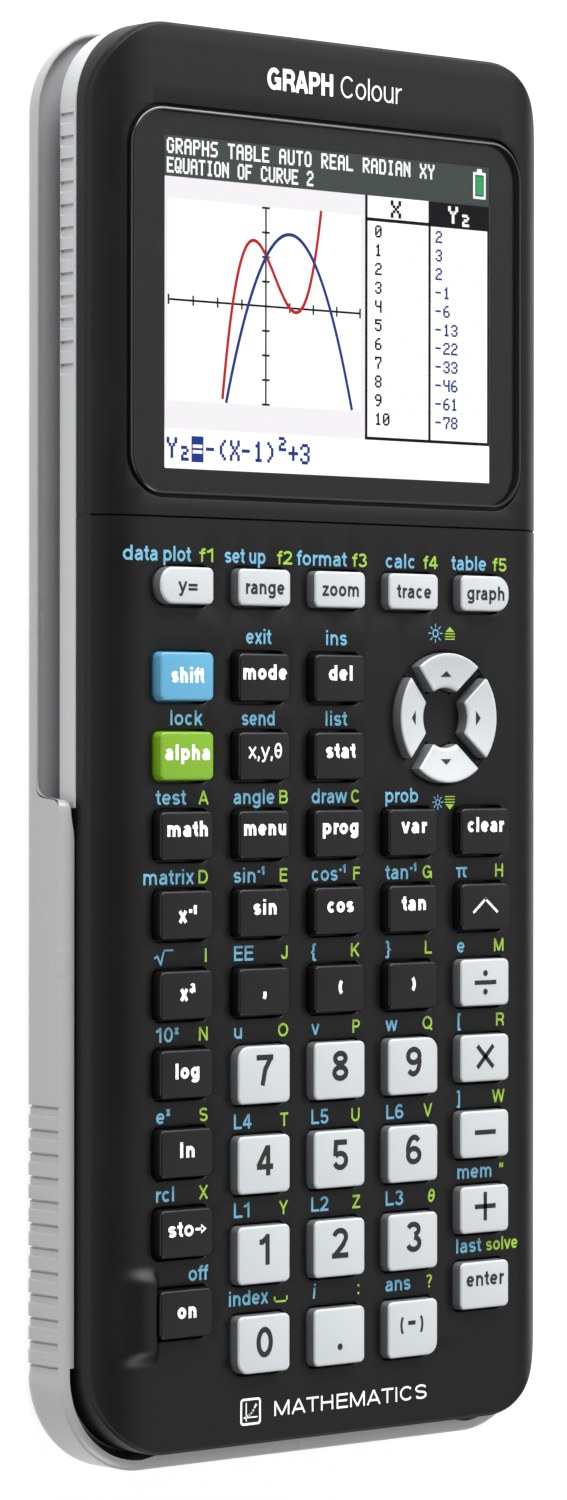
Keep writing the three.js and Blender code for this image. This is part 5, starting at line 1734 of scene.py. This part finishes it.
for name, col, ky, h, colour, r in KEYS:
    x, top = COLS[col], (KEY_ON_TOP if name == "key_on" else KEY_TOP)
    p = Print()
    surf = lambda px, py, top=top: top
    dark = colour == "white"
    if name in LEGENDS:
        s, w, v, cap = LEGENDS[name]
        yb = 78.6 - v + 0.3 - cap / 2
        if name == "key_store":
            p.text(s, x - 3.2, x + 1.1, yb, cap, surf, weight=0.2)
            ym = yb + cap * 0.42
            p.line([(x + 1.5, ym), (x + 2.5, ym)], 0.34, surf)
            p.poly([(x + 2.3, ym - 0.62), (x + 3.2, ym), (x + 2.3, ym + 0.62)], surf)
        else:
            p.text(s, x - w / 2, x + w / 2, yb, cap, surf, weight=(0.14 if name == "key_variable" else 0.24 if not dark else 0.19))
    elif name in DIGITS:
        d = DIGITS[name]
        w = DIGIT_W.get(d, 2.85)
        p.text(d, x - w / 2, x + w / 2, 78.6 - DIGIT_V[d] + 0.15 - 2.0, 4.0, surf, weight=0.18)
    elif name == "key_power":
        p.line([(x - 2.1, ky - 0.7), (x, ky + 1.0), (x + 2.1, ky - 0.7)], 0.34, surf)
    elif name == "key_divide":
        y = 78.6 - 110.2
        p.line([(x - 1.7, y), (x + 1.7, y)], 0.6, surf)
        p.poly(circle(x, y + 1.25, 0.42, 16), surf)
        p.poly(circle(x, y - 1.25, 0.42, 16), surf)
    elif name == "key_multiply":
        y = 78.6 - 120.2
        p.line([(x - 1.25, y - 1.25), (x + 1.25, y + 1.25)], 0.62, surf)
        p.line([(x - 1.25, y + 1.25), (x + 1.25, y - 1.25)], 0.62, surf)
    elif name == "key_minus":
        y = 78.6 - 130.4
        p.line([(x - 1.6, y), (x + 1.6, y)], 0.64, surf)
    elif name == "key_plus":
        y = 78.6 - 140.4
        p.line([(x - 1.6, y), (x + 1.6, y)], 0.64, surf)
        p.line([(x, y - 1.6), (x, y + 1.6)], 0.64, surf)
    elif name == "key_point":
        p.poly(circle(x, 78.6 - 157.3, 0.45, 16), surf)
    elif name == "key_negate":
        for side in (-1, 1):
            p.text("(" if side < 0 else ")", x - 0.3 + side * 1.65 - 0.42, x - 0.3 + side * 1.65 + 0.42, 78.6 - 155.1 - 1.33, 2.95, surf, weight=0.13)
        p.line([(x - 0.68, 78.6 - 155.1), (x + 0.08, 78.6 - 155.1)], 0.55, surf)
    if p.verts:
        ob = p.object("legend_" + name, MAT["ink_black"] if dark else MAT["ink_white"])
        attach(ob, BODY_OF[name])

for name, a in ARROWS:
    p = Print()
    t = math.radians(a)
    c, s = math.cos(t), math.sin(t)
    rc = (PAD_RO + PAD_RI) / 2
    pts = [(rc - 0.5 + 0.42, 0.0), (rc - 0.5 - 0.36, 1.0), (rc - 0.5 - 0.36, -1.0)]
    p.poly([(PAD_X - 0.2 + x_ * c - y_ * s, PAD_Y + x_ * s + y_ * c) for x_, y_ in pts], pad_top)
    ob = p.object("legend_" + name, MAT["ink_black"])
    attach(ob, BODY_OF[name])


# ------------------------------------------------------------------ inner parts
def finish_cad():
    for node, mat, slot_name in (("circuit_board", "board", "board_green"), ("keypad_membrane", "membrane", "silicone"), ("battery_pack", "wrap", "battery_wrap")):
        ob = NODES[node]
        ob.data.materials.clear()
        ob.data.materials.append(MAT[mat])


MAT["board"] = plastic("circuit_board_green", "1f5a3a", 0.4, grain=0.0008, bump=0.1, rvar=0.05, cvar=0.2)
MAT["membrane"] = plastic("silicone_grey", "8b8f93", 0.55, grain=0.0004, bump=0.1, rvar=0.05, cvar=0.04)
MAT["wrap"] = plastic("battery_wrap", "3b3f46", 0.35, grain=0.0005, bump=0.06, rvar=0.05, cvar=0.05)
finish_cad()


# ------------------------------------------------------------------ stage
def area(name, loc, target, size, watts, colour=(1, 1, 1), size_y=None):
    d = bpy.data.lights.new(name, "AREA")
    d.shape = "RECTANGLE" if size_y else "SQUARE"
    d.size = size
    if size_y:
        d.size_y = size_y
    d.energy = watts
    d.color = colour
    o = bpy.data.objects.new(name, d)
    bpy.context.scene.collection.objects.link(o)
    loc, target = Vector(loc), Vector(target)
    o.matrix_world = Matrix.Translation(loc) @ (target - loc).to_track_quat("-Z", "Y").to_matrix().to_4x4()
    return o


def stage_and_lights():
    me = bpy.data.meshes.new("floor")
    s = 6.0
    me.from_pydata([(-s, -s, -0.0002), (s, -s, -0.0002), (s, s, -0.0002), (-s, s, -0.0002)], [], [(0, 1, 2, 3)])
    floor = bpy.data.objects.new("floor", me)
    bpy.context.scene.collection.objects.link(floor)
    m, nt, b = principled("pale_floor", (0.28, 0.28, 0.28), 0.9, spec=0.1)
    b.inputs["Emission Color"].default_value = (1, 1, 1, 1)
    b.inputs["Emission Strength"].default_value = 0.80
    me.materials.append(m)
    w = bpy.data.worlds.new("studio")
    bpy.context.scene.world = w
    w.use_nodes = True
    w.node_tree.nodes["Background"].inputs["Color"].default_value = (1, 1, 1, 1)
    w.node_tree.nodes["Background"].inputs["Strength"].default_value = 0.045
    for name, loc, long_side, short_side, watts in (
        ("right_panel", (0.68, 0.0, 0.80), 1.9, 0.8, 4.11), ("left_panel", (-0.75, 0.0, 0.75), 1.8, 0.5, 1.94),
        ("low_left_panel", (-1.0, 0.0, 0.30), 1.8, 0.5, 4.39), ("back_panel", (0.15, 1.05, 0.55), 1.4, 0.6, 28.2),
        ("back_left_light", (-0.30, 0.90, 0.60), 0.5, 0.5, 4.76), ("front_light", (0.20, -0.85, 0.65), 0.5, 0.5, 5.28),
        ("back_right_panel", (0.60, 0.70, 0.62), 0.9, 0.6, 5.06),
    ):
        area(name, loc, (0, 0, 0), long_side, watts, size_y=short_side)


stage_and_lights()
bpy.context.scene.view_settings.view_transform = "Standard"

import json
